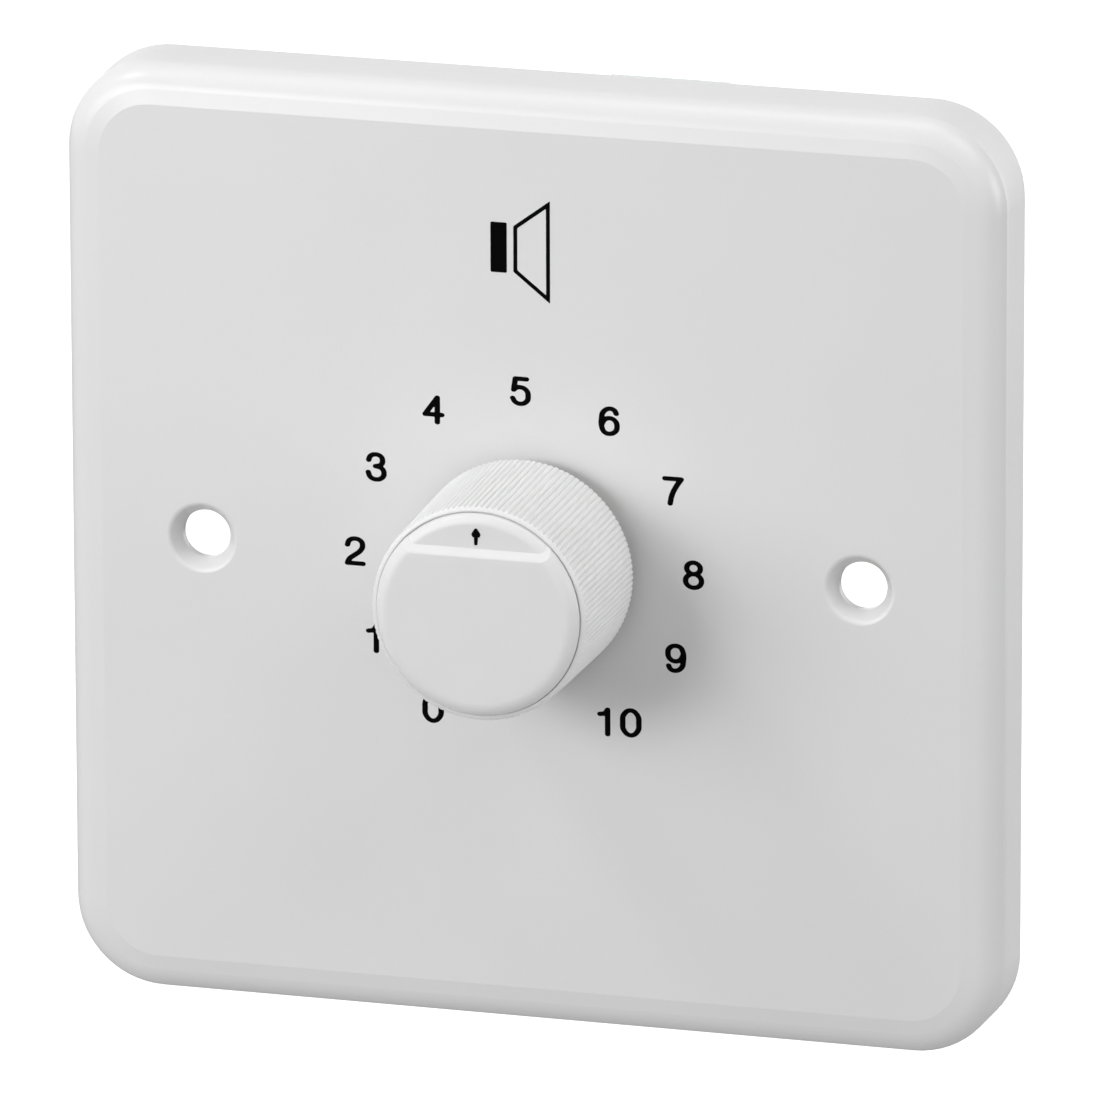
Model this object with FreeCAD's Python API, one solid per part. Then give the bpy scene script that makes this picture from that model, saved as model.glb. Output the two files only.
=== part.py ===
import FreeCAD, Part
import math
import os

os.makedirs("parts", exist_ok=True)

# Wall-plate volume control, in millimetres.
# X is right as seen from the room, Y runs into the wall, Z is up.
# The origin is the plate's centre on the wall; the knob's axis is the Y axis.

# Wall plate, British one-gang pattern
plate_side = 86.0
plate_depth = 7.5
plate_wall = 2.1
corner_radius = 8.3
flat_side = 78.8
facet_width = 1.35
facet_angle = 10.0
edge_round = 2.6
edge_round_end = 74.0
cavity_fillet = 1.0
screw_spacing = 60.3
screw_bore_radius = 2.2
screw_mouth_radius = 3.05
screw_sink_depth = 1.3
mouth_round = 0.5
rib_thickness = 1.2
rib_gap_to_wall = 1.6
ring_clearance = 1.6

# Knob with its push-in cap
knob_rear_radius = 10.05
knob_front_radius = 9.75
knob_gap_to_plate = 1.5
knob_height = 15.9
knob_ribs = 120
rib_depth = 0.16
rib_facets = (-1.0, -0.7, -0.25, 0.25, 0.7)
knob_rear_chamfer = 0.3
lip_round = 0.45
lip_turn = 60.0
lip_ease = 0.08
nut_recess_radius = 8.4
nut_recess_depth = 4.2
web_depth = 6.3
cap_recess_radius = 8.0
cap_radius = 9.2
cap_gap = 0.04
cap_seat_depth = 0.8
cap_rise = 1.0
cap_edge_width = 1.2
cap_edge_fullness = 1.08
segment_rise = 0.5
segment_edge_width = 1.0
segment_floor_z = 6.08
segment_top_z = 5.5
step_round = 0.4
cap_plug_radius = 7.9
cap_plug_wall = 0.9
cap_plug_length = 2.0
cap_plug_gap = 1.2

# Collet that grips the spindle
insert_radius = 5.0
collet_rear_radius = 4.6
collet_thread_radius = 3.9
collet_taper_length = 3.1
collet_bore_radius = 3.02
collet_slot = 0.6
collet_slots = 3
collet_nut_flats = 10.0
collet_nut_thickness = 1.8
collet_setback = 0.2
collet_ease = 0.25
collet_past_nut = 0.1
spindle_past_nut = 0.4
collet_uncut = 1.5
insert_groove_width = 1.2
insert_groove_depth = 0.3
metal_fit = 0.02
nut_corner_ease = 0.6

# Rotary switch
switch_radius = 12.6
switch_wall = 2.0
switch_housing_depth = 8.6
switch_base_thickness = 2.0
peg_circle = 10.6
peg_radius = 1.0
peg_fit = 0.15
track_radius = 10.8
lobe_count = 12
lobe_radius = 2.2
lobe_circle = 9.3
spindle_radius = 3.0
spindle_clearance = 0.05
spindle_drive_radius = 2.5
spindle_flat = 1.9
spindle_ease = 0.4
pivot_radius = 1.5
pivot_length = 1.0
pivot_hole_depth = 1.2
drive_undercut = 0.1
bushing_radius = 5.0
bushing_length = 6.2
bushing_flange_radius = 5.7
bushing_flange = 1.0
bushing_hole_fit = 0.1
bushing_nut_flats = 12.0
bushing_nut_thickness = 2.0
washer_radius = 6.6
washer_thickness = 0.6
washer_teeth = 10
washer_gap_width = 1.1
washer_gap_depth = 0.75
washer_fit = 0.15
clip_thickness = 0.55
clip_radius = 4.6
clip_ring_inner = 3.5
clip_groove_radius = 2.4
clip_prongs = (0.0, 112.0, 248.0)
clip_prong_half_angle = 15.0
clip_mouth = 3.4
clip_fit = 0.05
stop_ring_radius = 8.1
stop_ring_thickness = 0.6
stop_inner = 6.4
stop_outer = 7.4
stop_tab_half_angle = 5.0
stop_clearance = 0.1
stop_slot_extra_angle = 1.0
turn_each_way = 150.0
moving_gap = 0.3
rotor_radius = 10.2
rotor_half_thickness = 1.9
stake_place = 2.9
stake_radius = 0.4
stake_height = 0.5
lug_overhang = 0.3
ball_radius = 1.5
ball_circle = 9.0
ball_bore_radius = 1.6
ball_bore_bottom = 4.4
spring_wire_radius = 0.14
spring_radius = 1.15
spring_pitch = 0.76
spring_turns = 4
contact_count = 11
contact_step = 30.0
contact_circle = 8.6
contact_head_radius = 1.0
contact_head_height = 0.4
contact_pin_radius = 0.4
common_circle = 4.4
common_inner = 3.6
common_outer = 5.2
wiper_thickness = 0.3
wiper_disc_radius = 3.9
wiper_bore = 2.0
wiper_arm_half = 1.2
wiper_slit = 0.5
wiper_foot_rear = 0.6
wiper_foot_tip = 0.3
hook_angles = (0.0, 120.0, 240.0)
hook_half_angle = 9.0
hook_half_gap = 10.0
hook_thickness = 0.8
hook_toe = 0.6
hook_drop = 4.0
foot_angles = (60.0, 180.0, 300.0)
foot_inset = 1.6
foot_radius = 1.0
weld_overlap = 0.3

# Circuit board
board_half_width = 24.0
board_bottom = -32.5
board_top = 33.5
board_thickness = 1.6
board_gap_to_switch = 0.4
board_corner = 1.5
pillar_x = 20.0
pillar_z = 28.5
pillar_radius = 3.2
board_screw_radius = 1.35
board_screw_fit = 0.05
board_screw_head_radius = 2.8
board_screw_head_height = 1.8
board_screw_length = 9.0
board_screw_hole_fit = 0.25
board_screw_round = 0.9
cross_half_width = 0.35
cross_half_length = 1.45
cross_depth = 1.0
pin_hole_fit = 0.1
pin_stickout = 1.2

# Terminal block with four rising clamps
terminal_count = 4
terminal_pitch = 5.08
terminal_bottom = -31.4
terminal_top = -22.2
terminal_height = 12.0
terminal_end_wall = 0.24
terminal_floor = 1.0
terminal_roof = 0.4
head_space = 0.2
screw_past_bar = 0.4
bar_end_gap = 0.2
chamber_half_width = 2.05
chamber_bottom = -29.6
chamber_top = -23.8
clamp_axis_z = -27.0
cage_half_width = 1.75
cage_half_depth = 2.2
cage_side_wall = 0.45
cage_floor = 0.8
cage_roof = 1.2
cage_height = 5.4
cage_travel = 2.0
clamp_screw_radius = 1.25
clamp_fit = 0.05
clamp_head_radius = 1.8
clamp_head_height = 1.4
bar_half_width = 0.9
bar_thickness = 0.6
entry_half_width = 1.65
entry_height = 3.0
entry_gap = 0.1
well_fit = 0.25
well_lip = 0.1
housing_chamfer = 0.6
clamp_slot_width = 0.5
clamp_slot_depth = 0.7

# Tapped transformer
core_centre_z = 14.0
core_width = 35.0
core_stack = 14.0
lamination_pitch = 0.5
lamination_thickness = 0.48
core_gap_to_board = 2.6
bobbin_wall = 0.9
bobbin_clearance = 0.15
bobbin_play = 0.2
flange_half_z = 11.4
flange_half_x = 13.6
flange_round = 1.0
flange_step = 0.7
rail_inner_x = 10.4
rail_half_z = 9.6
rail_gap_to_board = 0.7
rail_foot = 1.2
pin_x = 12.2
pin_pitch = 3.0
pins_per_row = 6
pin_radius = 0.35
pin_seat = 0.8
winding_half_z = 10.9
winding_half_x = 12.3
winding_round = 3.0
tape_thickness = 0.25
tape_inset = 0.05
lead_radius = 0.2
lead_bend = 0.5
lead_clearance = 0.15
lead_lift = 0.05
strap_thickness = 0.8
strap_half_width = 5.5
strap_lip = 1.2

# Levels along Y that follow from these
plate_front = -plate_depth
plate_inner = plate_front + plate_wall
knob_rear = plate_front - knob_gap_to_plate
knob_front = plate_front - knob_height
web_rear = knob_rear - nut_recess_depth
web_front = web_rear - web_depth
cap_seat = knob_front + cap_seat_depth
cap_face = knob_front - cap_rise
segment_face = knob_front - segment_rise
switch_front = plate_inner
switch_inner = switch_front + switch_wall
base_front = switch_front + switch_housing_depth
base_rear = base_front + switch_base_thickness
bushing_front = switch_front - bushing_length
board_front = base_rear + board_gap_to_switch
board_rear = board_front + board_thickness
pin_tip_rear = board_rear + pin_stickout
pin_tip_front = board_front - pin_stickout
core_front = board_rear + core_gap_to_board
core_limb = core_width / 6.0
core_rear = core_front + core_limb * 5.0
window_front = core_front + core_limb
window_rear = core_rear - core_limb
stop_ring_rear = switch_front + stop_ring_thickness
clip_rear = bushing_front - moving_gap
clip_front = clip_rear - clip_thickness
rotor_front = -rotor_half_thickness
rotor_rear = rotor_half_thickness
contact_face = base_front - contact_head_height
collet_rear = web_rear - collet_setback
bobbin_front = window_front + bobbin_play
bobbin_rear = window_rear - bobbin_play


def cylinder(radius, y_from, y_to, x=0.0, z=0.0):
    return Part.makeCylinder(radius, y_to - y_from, FreeCAD.Vector(x, y_from, z), FreeCAD.Vector(0, 1, 0))


def tube(outer, inner, y_from, y_to, x=0.0, z=0.0):
    return cylinder(outer, y_from, y_to, x, z).cut(cylinder(inner, y_from, y_to, x, z))


def block(x_from, x_to, y_from, y_to, z_from, z_to):
    corner = FreeCAD.Vector(x_from, y_from, z_from)
    return Part.makeBox(x_to - x_from, y_to - y_from, z_to - z_from, corner)


def at_clock(radius, degrees):
    """Place on a circle about the Y axis, clockwise from the top as seen from the room."""
    angle = math.radians(degrees)
    return radius * math.sin(angle), radius * math.cos(angle)


def clock_point(radius, degrees, y):
    x, z = at_clock(radius, degrees)
    return FreeCAD.Vector(x, y, z)


def revolved(edges):
    """A solid of revolution about the Y axis from a closed outline in the XY plane."""
    face = Part.Face(Part.Wire(edges))
    return face.revolve(FreeCAD.Vector(0, 0, 0), FreeCAD.Vector(0, 1, 0), 360)


def outline(points):
    """Straight edges through (radius, y) points, closed."""
    corners = [FreeCAD.Vector(r, y, 0) for r, y in points]
    return [Part.makeLine(a, b) for a, b in zip(corners, corners[1:] + corners[:1])]


def turned(points):
    return revolved(outline(points))


def rounded_prism(half_x, half_z, radius, y_from, y_to, z=0.0):
    """A block along Y with rounded corners."""
    inner_x = half_x - radius
    inner_z = half_z - radius
    edges = []
    previous = None
    first = None
    for quarter in range(4):
        start = math.radians(90.0 * quarter)
        sign_x = 1 if quarter in (0, 3) else -1
        sign_z = 1 if quarter in (0, 1) else -1
        points = []
        for share in (0.0, 0.5, 1.0):
            angle = start + share * math.pi / 2
            px = sign_x * inner_x + radius * math.cos(angle)
            pz = z + sign_z * inner_z + radius * math.sin(angle)
            points.append(FreeCAD.Vector(px, y_from, pz))
        if previous is not None:
            edges.append(Part.makeLine(previous, points[0]))
        edges.append(Part.Arc(*points).toShape())
        previous = points[2]
        first = first or points[0]
    edges.append(Part.makeLine(previous, first))
    return Part.Face(Part.Wire(edges)).extrude(FreeCAD.Vector(0, y_to - y_from, 0))


def sector(inner, outer, middle, half_angle, y_from, y_to):
    """A part of a ring, centred on a clock angle."""
    low = middle - half_angle
    high = middle + half_angle
    outer_arc = Part.Arc(*[clock_point(outer, a, y_from) for a in (low, middle, high)]).toShape()
    inner_arc = Part.Arc(*[clock_point(inner, a, y_from) for a in (high, middle, low)]).toShape()
    side_high = Part.makeLine(clock_point(outer, high, y_from), clock_point(inner, high, y_from))
    side_low = Part.makeLine(clock_point(inner, low, y_from), clock_point(outer, low, y_from))
    face = Part.Face(Part.Wire([outer_arc, side_high, inner_arc, side_low]))
    return face.extrude(FreeCAD.Vector(0, y_to - y_from, 0))


def hexagon(across_flats, bore, y_from, y_to):
    """A hexagon nut along Y whose corners are eased at both ends."""
    corner = across_flats / math.sqrt(3.0)
    points = [clock_point(corner, 60.0 * i, y_from) for i in range(7)]
    prism = Part.Face(Part.makePolygon(points)).extrude(FreeCAD.Vector(0, y_to - y_from, 0))
    flat = across_flats / 2.0
    ease = (corner - flat) * nut_corner_ease
    easing = turned([
        (0, y_from),
        (flat, y_from),
        (corner, y_from + ease),
        (corner, y_to - ease),
        (flat, y_to),
        (0, y_to),
    ])
    return prism.common(easing).cut(cylinder(bore, y_from, y_to))


def joined(shapes):
    return shapes[0].multiFuse(shapes[1:]).removeSplitter()


def save(node, shapes):
    """Writes one node; a list is a group of separate solids."""
    solids = []
    for shape in shapes if isinstance(shapes, list) else [shapes]:
        solids.extend(shape.Solids)
    for solid in solids:
        if not solid.isValid():
            print("NOT VALID", node)
    whole = solids[0] if len(solids) == 1 else Part.makeCompound(solids)
    whole.exportStep("parts/" + node + ".step")
    print(node, len(solids), "solid(s)", round(whole.Volume, 2), "mm3")


# Wall plate

def plate_section():
    """The moulded edge in the XY plane, measured from the axis of a corner."""
    centre = plate_side / 2 - corner_radius
    flat = flat_side / 2 - centre
    start_angle = math.radians(facet_angle)
    facet_end = flat + facet_width
    facet_y = plate_front + facet_width * math.tan(start_angle)
    round_x = facet_end - edge_round * math.sin(start_angle)
    round_y = facet_y + edge_round * math.cos(start_angle)
    on_round = []
    for degrees in (facet_angle, (facet_angle + edge_round_end) / 2, edge_round_end):
        angle = math.radians(degrees)
        px = round_x + edge_round * math.sin(angle)
        py = round_y - edge_round * math.cos(angle)
        on_round.append(FreeCAD.Vector(px, py, 0))
    axis_wall = FreeCAD.Vector(0, 0, 0)
    rim = FreeCAD.Vector(corner_radius, 0, 0)
    flat_end = FreeCAD.Vector(flat, plate_front, 0)
    axis_front = FreeCAD.Vector(0, plate_front, 0)
    return Part.Face(Part.Wire([
        Part.makeLine(axis_wall, rim),
        Part.makeLine(rim, on_round[2]),
        Part.Arc(on_round[2], on_round[1], on_round[0]).toShape(),
        Part.makeLine(on_round[0], flat_end),
        Part.makeLine(flat_end, axis_front),
        Part.makeLine(axis_front, axis_wall),
    ]))


def plate_blank():
    """The outside of the plate: four turned corners, four straight edges and the middle."""
    centre = plate_side / 2 - corner_radius
    y_axis = FreeCAD.Vector(0, 1, 0)
    origin = FreeCAD.Vector(0, 0, 0)
    pieces = [block(-centre, centre, plate_front, 0, -centre, centre)]
    corner = plate_section().revolve(origin, y_axis, -90)
    side = plate_section().extrude(FreeCAD.Vector(0, 0, -2 * centre))
    for piece in (corner, side):
        piece.translate(FreeCAD.Vector(centre, 0, centre))
        for quarter in range(4):
            copy = piece.copy()
            copy.rotate(origin, y_axis, 90 * quarter)
            pieces.append(copy)
    return joined(pieces)


def plate_cavity():
    half = plate_side / 2 - plate_wall
    cavity = rounded_prism(half, half, corner_radius - plate_wall, plate_inner, 1.0)
    front_edges = [e for e in cavity.Edges if abs(e.BoundBox.YMax - plate_inner) < 0.01]
    return cavity.makeFillet(cavity_fillet, front_edges)


def plate_ribs():
    """The ring round the switch and the ribs from each screw pillar to the rim."""
    overlap = 1.0
    half_rib = rib_thickness / 2
    half = plate_side / 2 - plate_wall + overlap
    top = -rib_gap_to_wall
    ring_inner = switch_radius + ring_clearance
    shapes = [tube(ring_inner + rib_thickness, ring_inner, plate_front + overlap, top)]
    for sign_x in (-1, 1):
        for sign_z in (-1, 1):
            x = sign_x * pillar_x
            z = sign_z * pillar_z
            low_x, high_x = sorted((x, sign_x * half))
            low_z, high_z = sorted((z, sign_z * half))
            start = plate_front + overlap
            shapes.append(cylinder(pillar_radius, start, board_front, x, z))
            shapes.append(block(low_x, high_x, start, top, z - half_rib, z + half_rib))
            shapes.append(block(x - half_rib, x + half_rib, start, top, low_z, high_z))
    return shapes


def faceplate():
    blank = plate_blank()
    body = blank.cut(plate_cavity()).fuse(plate_ribs())
    cuts = [cylinder(bushing_radius + bushing_hole_fit, plate_front - 1, plate_inner + 1)]
    peg_hole = peg_radius + peg_fit
    cuts.append(cylinder(peg_hole, plate_inner - peg_hole, plate_inner + 1, 0, -peg_circle))
    for sign_x in (-1, 1):
        x = sign_x * screw_spacing / 2
        cuts.append(cylinder(screw_bore_radius, plate_front - 1, plate_inner + 1, x, 0))
        mouth = FreeCAD.Vector(x, plate_front, 0)
        along = FreeCAD.Vector(0, 1, 0)
        cuts.append(Part.makeCone(screw_mouth_radius, screw_bore_radius, screw_sink_depth, mouth, along))
        for sign_z in (-1, 1):
            depth = board_screw_length + 1
            start = board_rear - depth
            cuts.append(cylinder(board_screw_radius + board_screw_fit, start, board_front,
                                 sign_x * pillar_x, sign_z * pillar_z))
    body = body.cut(cuts)
    mouths = []
    for edge in body.Edges:
        if abs(edge.BoundBox.YMax - plate_front) > 0.01 or abs(edge.BoundBox.YMin - plate_front) > 0.01:
            continue
        if abs(abs(edge.BoundBox.Center.x) - screw_spacing / 2) < 0.01:
            mouths.append(edge)
    return body.makeFillet(mouth_round, mouths)


# Knob

def rib_outline(radius, y):
    """Fine rounded ribs with sharp valleys, each an arc followed by a few flats that start at rib_facets."""
    half_pitch = 180.0 / knob_ribs
    half_width = radius * math.radians(half_pitch)
    arc_radius = (half_width ** 2 + rib_depth ** 2) / (2 * rib_depth)
    points = []
    for rib in range(knob_ribs):
        for share in rib_facets:
            drop = arc_radius - math.sqrt(arc_radius ** 2 - (share * half_width) ** 2)
            points.append(clock_point(radius - drop, half_pitch * (2 * rib + share), y))
    return Part.makePolygon(points + points[:1])


def edge_arc(inner, face_y, radius, degrees):
    """Points of a rounded front edge: from its flat face outwards and back, through a turn in degrees."""
    points = []
    for share in (0.0, 0.5, 1.0):
        turn = math.radians(degrees * share)
        points.append((inner + radius * math.sin(turn), face_y + radius * (1 - math.cos(turn))))
    return points


def rounded_outline(points, arc):
    """A closed outline whose last three points lie on an arc."""
    corners = [FreeCAD.Vector(r, y, 0) for r, y in points]
    start, middle, end = (FreeCAD.Vector(r, y, 0) for r, y in arc)
    straight = [Part.makeLine(a, b) for a, b in zip([end] + corners, corners + [start])]
    return straight + [Part.Arc(start, middle, end).toShape()]


def knob_body():
    ends = [rib_outline(knob_rear_radius, knob_rear), rib_outline(knob_front_radius, knob_front)]
    ribbed = Part.makeLoft(ends, True, True)
    outside = knob_rear_radius + 0.5
    rear_ease = outside - knob_rear_radius + knob_rear_chamfer
    seat_radius = cap_radius + cap_gap
    lip = edge_arc(seat_radius + lip_ease, knob_front, lip_round, lip_turn)
    lip_end_radius, lip_end = lip[-1]
    lip_slope = math.tan(math.radians(lip_turn))
    envelope = revolved(rounded_outline([
        (outside, lip_end + (outside - lip_end_radius) * lip_slope),
        (outside, knob_rear - rear_ease),
        (outside - rear_ease, knob_rear),
        (nut_recess_radius, knob_rear),
        (nut_recess_radius, web_rear),
        (insert_radius, web_rear),
        (insert_radius, web_front),
        (cap_recess_radius, web_front),
        (cap_recess_radius, cap_seat),
        (seat_radius, cap_seat),
        (seat_radius, knob_front + lip_ease),
    ], lip))
    return ribbed.common(envelope)


def cap_disc(face_y, edge_width):
    """A disc whose front edge is rounded, with a short straight rim behind the round."""
    turn = math.degrees(math.asin(1 / cap_edge_fullness))
    edge = edge_arc(cap_radius - edge_width, face_y, edge_width * cap_edge_fullness, turn)
    return revolved(rounded_outline([(cap_radius, cap_seat), (0, cap_seat), (0, face_y)], edge))


def step_outline():
    """The cap from the side, below the step: its face turns into the step's slope through a small round."""
    slope = (segment_floor_z - segment_top_z) / (segment_face - cap_face)
    turn = math.atan(1 / slope)
    reach = step_round * math.tan(turn / 2)
    centre_y = cap_face + step_round
    centre_z = segment_top_z - reach
    on_round = []
    for share in (0.0, 0.5, 1.0):
        y = centre_y - step_round * math.cos(turn * share)
        z = centre_z + step_round * math.sin(turn * share)
        on_round.append(FreeCAD.Vector(0, y, z))
    half = cap_radius + 1
    bottom_front = FreeCAD.Vector(0, cap_face, -half)
    bottom_rear = FreeCAD.Vector(0, cap_seat, -half)
    top_rear = FreeCAD.Vector(0, cap_seat, segment_top_z + slope * (cap_seat - cap_face))
    return Part.Face(Part.Wire([
        Part.makeLine(bottom_front, on_round[0]),
        Part.Arc(*on_round).toShape(),
        Part.makeLine(on_round[2], top_rear),
        Part.makeLine(top_rear, bottom_rear),
        Part.makeLine(bottom_rear, bottom_front),
    ]))


def knob_cap():
    """A push-in cap; a shallow segment for the pointer is cut from its top."""
    lower_part = step_outline().extrude(FreeCAD.Vector(2 * cap_radius + 2, 0, 0))
    lower_part.translate(FreeCAD.Vector(-cap_radius - 1, 0, 0))
    disc = cap_disc(cap_face, cap_edge_width).common(lower_part)
    plug_end = cap_seat + cap_plug_length
    plug = tube(cap_plug_radius, cap_plug_radius - cap_plug_wall, cap_seat, plug_end)
    gaps = []
    for quarter in range(4):
        gap = block(-cap_plug_gap / 2, cap_plug_gap / 2, cap_seat + moving_gap, plug_end, 0, cap_radius)
        gap.rotate(FreeCAD.Vector(0, 0, 0), FreeCAD.Vector(0, 1, 0), 45 + 90 * quarter)
        gaps.append(gap)
    return joined([disc, cap_disc(segment_face, segment_edge_width), plug.cut(gaps)])


def knob_insert():
    """Brass seat for the collet, moulded into the web."""
    taper_end = collet_rear - collet_taper_length
    outer = collet_rear_radius + metal_fit
    inner = collet_thread_radius + metal_fit
    slope = (outer - inner) / collet_taper_length
    groove_front = (web_rear + web_front - insert_groove_width) / 2
    groove_rear = groove_front + insert_groove_width
    body = turned([
        (insert_radius, web_rear),
        (outer + collet_setback * slope, web_rear),
        (inner, taper_end),
        (inner, web_front),
        (insert_radius, web_front),
    ])
    return body.cut(tube(insert_radius + 1, insert_radius - insert_groove_depth, groove_front, groove_rear))


def knob_collet():
    front = web_front - collet_nut_thickness - collet_past_nut
    taper_end = collet_rear - collet_taper_length
    body = turned([
        (collet_bore_radius, collet_rear),
        (collet_rear_radius, collet_rear),
        (collet_thread_radius, taper_end),
        (collet_thread_radius, front + collet_ease),
        (collet_thread_radius - collet_ease, front),
        (collet_bore_radius, front),
    ])
    slots = []
    half = collet_slot / 2
    slot_front = web_front + collet_uncut
    for index in range(collet_slots):
        slot = block(-half, half, slot_front, collet_rear + 1, 0, collet_rear_radius + 1)
        slot.rotate(FreeCAD.Vector(0, 0, 0), FreeCAD.Vector(0, 1, 0), 60 + 360.0 / collet_slots * index)
        slots.append(slot)
    return body.cut(slots)


def collet_nut():
    bore = collet_thread_radius + metal_fit
    return hexagon(collet_nut_flats, bore, web_front - collet_nut_thickness, web_front)


# Spindle and what holds it in the plate

def spindle():
    """Steel spindle: round with a clip groove, then a flatted drive and a pivot."""
    front = web_front - collet_nut_thickness - spindle_past_nut
    shoulder = rotor_front - drive_undercut
    pivot_end = base_front + pivot_length
    round_part = turned([
        (0, front),
        (spindle_radius - spindle_ease, front),
        (spindle_radius, front + spindle_ease),
        (spindle_radius, clip_front - clip_fit),
        (clip_groove_radius, clip_front - clip_fit),
        (clip_groove_radius, clip_rear + clip_fit),
        (spindle_radius, clip_rear + clip_fit),
        (spindle_radius, shoulder),
        (0, shoulder),
    ])
    drive = cylinder(spindle_drive_radius, shoulder, rotor_rear)
    beside = block(-spindle_radius, spindle_radius, shoulder, rotor_rear, spindle_flat, spindle_radius)
    drive = drive.cut(beside)
    pivot = cylinder(pivot_radius, rotor_rear, pivot_end)
    return joined([round_part, drive, pivot])


def spindle_clip():
    """Snap ring with three prongs and an open mouth at the bottom."""
    shapes = [tube(clip_radius, clip_ring_inner, clip_front, clip_rear)]
    prong_tip = clip_groove_radius + clip_fit
    prong_root = clip_ring_inner + weld_overlap
    for degrees in clip_prongs:
        shapes.append(sector(prong_tip, prong_root, degrees, clip_prong_half_angle, clip_front, clip_rear))
    mouth = block(-clip_mouth / 2, clip_mouth / 2, clip_front, clip_rear, -clip_radius - 1, 0)
    return joined(shapes).cut(mouth)


def bushing():
    bore = spindle_radius + spindle_clearance
    rear = switch_inner
    flange_front = rear - bushing_flange
    return turned([
        (bore, bushing_front),
        (bushing_radius - spindle_ease, bushing_front),
        (bushing_radius, bushing_front + spindle_ease),
        (bushing_radius, flange_front),
        (bushing_flange_radius, flange_front),
        (bushing_flange_radius, rear),
        (bore, rear),
    ])


def lock_washer():
    rear = plate_front
    front = rear - washer_thickness
    ring = tube(washer_radius, bushing_radius + washer_fit, front, rear)
    half = washer_gap_width / 2
    gaps = []
    for index in range(washer_teeth):
        gap = block(-half, half, front, rear, washer_radius - washer_gap_depth, washer_radius + 1)
        gap.rotate(FreeCAD.Vector(0, 0, 0), FreeCAD.Vector(0, 1, 0), 360.0 / washer_teeth * index)
        gaps.append(gap)
    return ring.cut(gaps)


def bushing_nut():
    rear = plate_front - washer_thickness
    return hexagon(bushing_nut_flats, bushing_radius + metal_fit, rear - bushing_nut_thickness, rear)


def stop_ring():
    """Ring with one tab bent back through the housing, which limits the turn."""
    tab_rear = rotor_front - moving_gap
    ring = tube(stop_ring_radius, bushing_radius + bushing_hole_fit, switch_front, stop_ring_rear)
    tab = sector(stop_inner, stop_outer, 180.0, stop_tab_half_angle, switch_front, tab_rear)
    return joined([ring, tab])


# Rotary switch

def switch_housing():
    """Cup with a lobed track inside, for the detent balls."""
    cup = cylinder(switch_radius, switch_front, base_front)
    inside = [cylinder(track_radius, switch_inner, base_front)]
    for index in range(lobe_count):
        x, z = at_clock(lobe_circle, 360.0 / lobe_count * index)
        inside.append(cylinder(lobe_radius, switch_inner, base_front, x, z))
    slot_half_angle = stop_tab_half_angle + stop_slot_extra_angle
    inside.append(cylinder(bushing_radius + metal_fit, switch_front, switch_inner))
    inside.append(cylinder(bushing_flange_radius + metal_fit, switch_inner - bushing_flange, switch_inner))
    inside.append(cylinder(stop_ring_radius + stop_clearance, switch_front, stop_ring_rear))
    slot_inner = stop_inner - stop_clearance
    slot_outer = stop_outer + stop_clearance
    inside.append(sector(slot_inner, slot_outer, 180.0, slot_half_angle, switch_front, switch_inner))
    body = cup.cut(inside)
    outside = [cylinder(peg_radius, switch_front - peg_radius, switch_front + weld_overlap, 0, -peg_circle)]
    arm_outer = switch_radius + hook_thickness
    toe_inner = switch_radius - hook_toe
    toe_front = base_rear - hook_thickness + metal_fit
    for degrees in hook_angles:
        arm_front = base_front - hook_drop
        arm = sector(switch_radius - weld_overlap, arm_outer, degrees, hook_half_angle, arm_front, base_rear)
        arm = arm.cut(cylinder(switch_radius + metal_fit, base_front, base_rear))
        outside.append(arm)
        outside.append(sector(toe_inner, arm_outer, degrees, hook_half_angle, toe_front, base_rear))
    return joined([body] + outside)


def contact_clocks():
    """Clock angles of the switched contacts, first to last."""
    middle = (contact_count - 1) / 2
    return [(index - middle) * contact_step for index in range(contact_count)]


def switch_base():
    """Rear cover that carries the contacts."""
    plate = cylinder(switch_radius, base_front, base_rear)
    cuts = [cylinder(pivot_radius + spindle_clearance, base_front, base_front + pivot_hole_depth)]
    gap_inner = switch_radius - hook_toe - 0.15
    gap_front = base_rear - hook_thickness
    for degrees in hook_angles:
        cuts.append(sector(gap_inner, switch_radius + 1, degrees, hook_half_gap, gap_front, base_rear))
    for degrees in contact_clocks():
        x, z = at_clock(contact_circle, degrees)
        cuts.append(cylinder(contact_pin_radius, base_front, base_rear, x, z))
    cuts.append(cylinder(contact_pin_radius, base_front, base_rear, 0, -common_circle))
    body = plate.cut(cuts)
    feet = []
    for degrees in foot_angles:
        x, z = at_clock(switch_radius - foot_inset, degrees)
        feet.append(cylinder(foot_radius, base_rear - weld_overlap, board_front, x, z))
    return joined([body] + feet)


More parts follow.
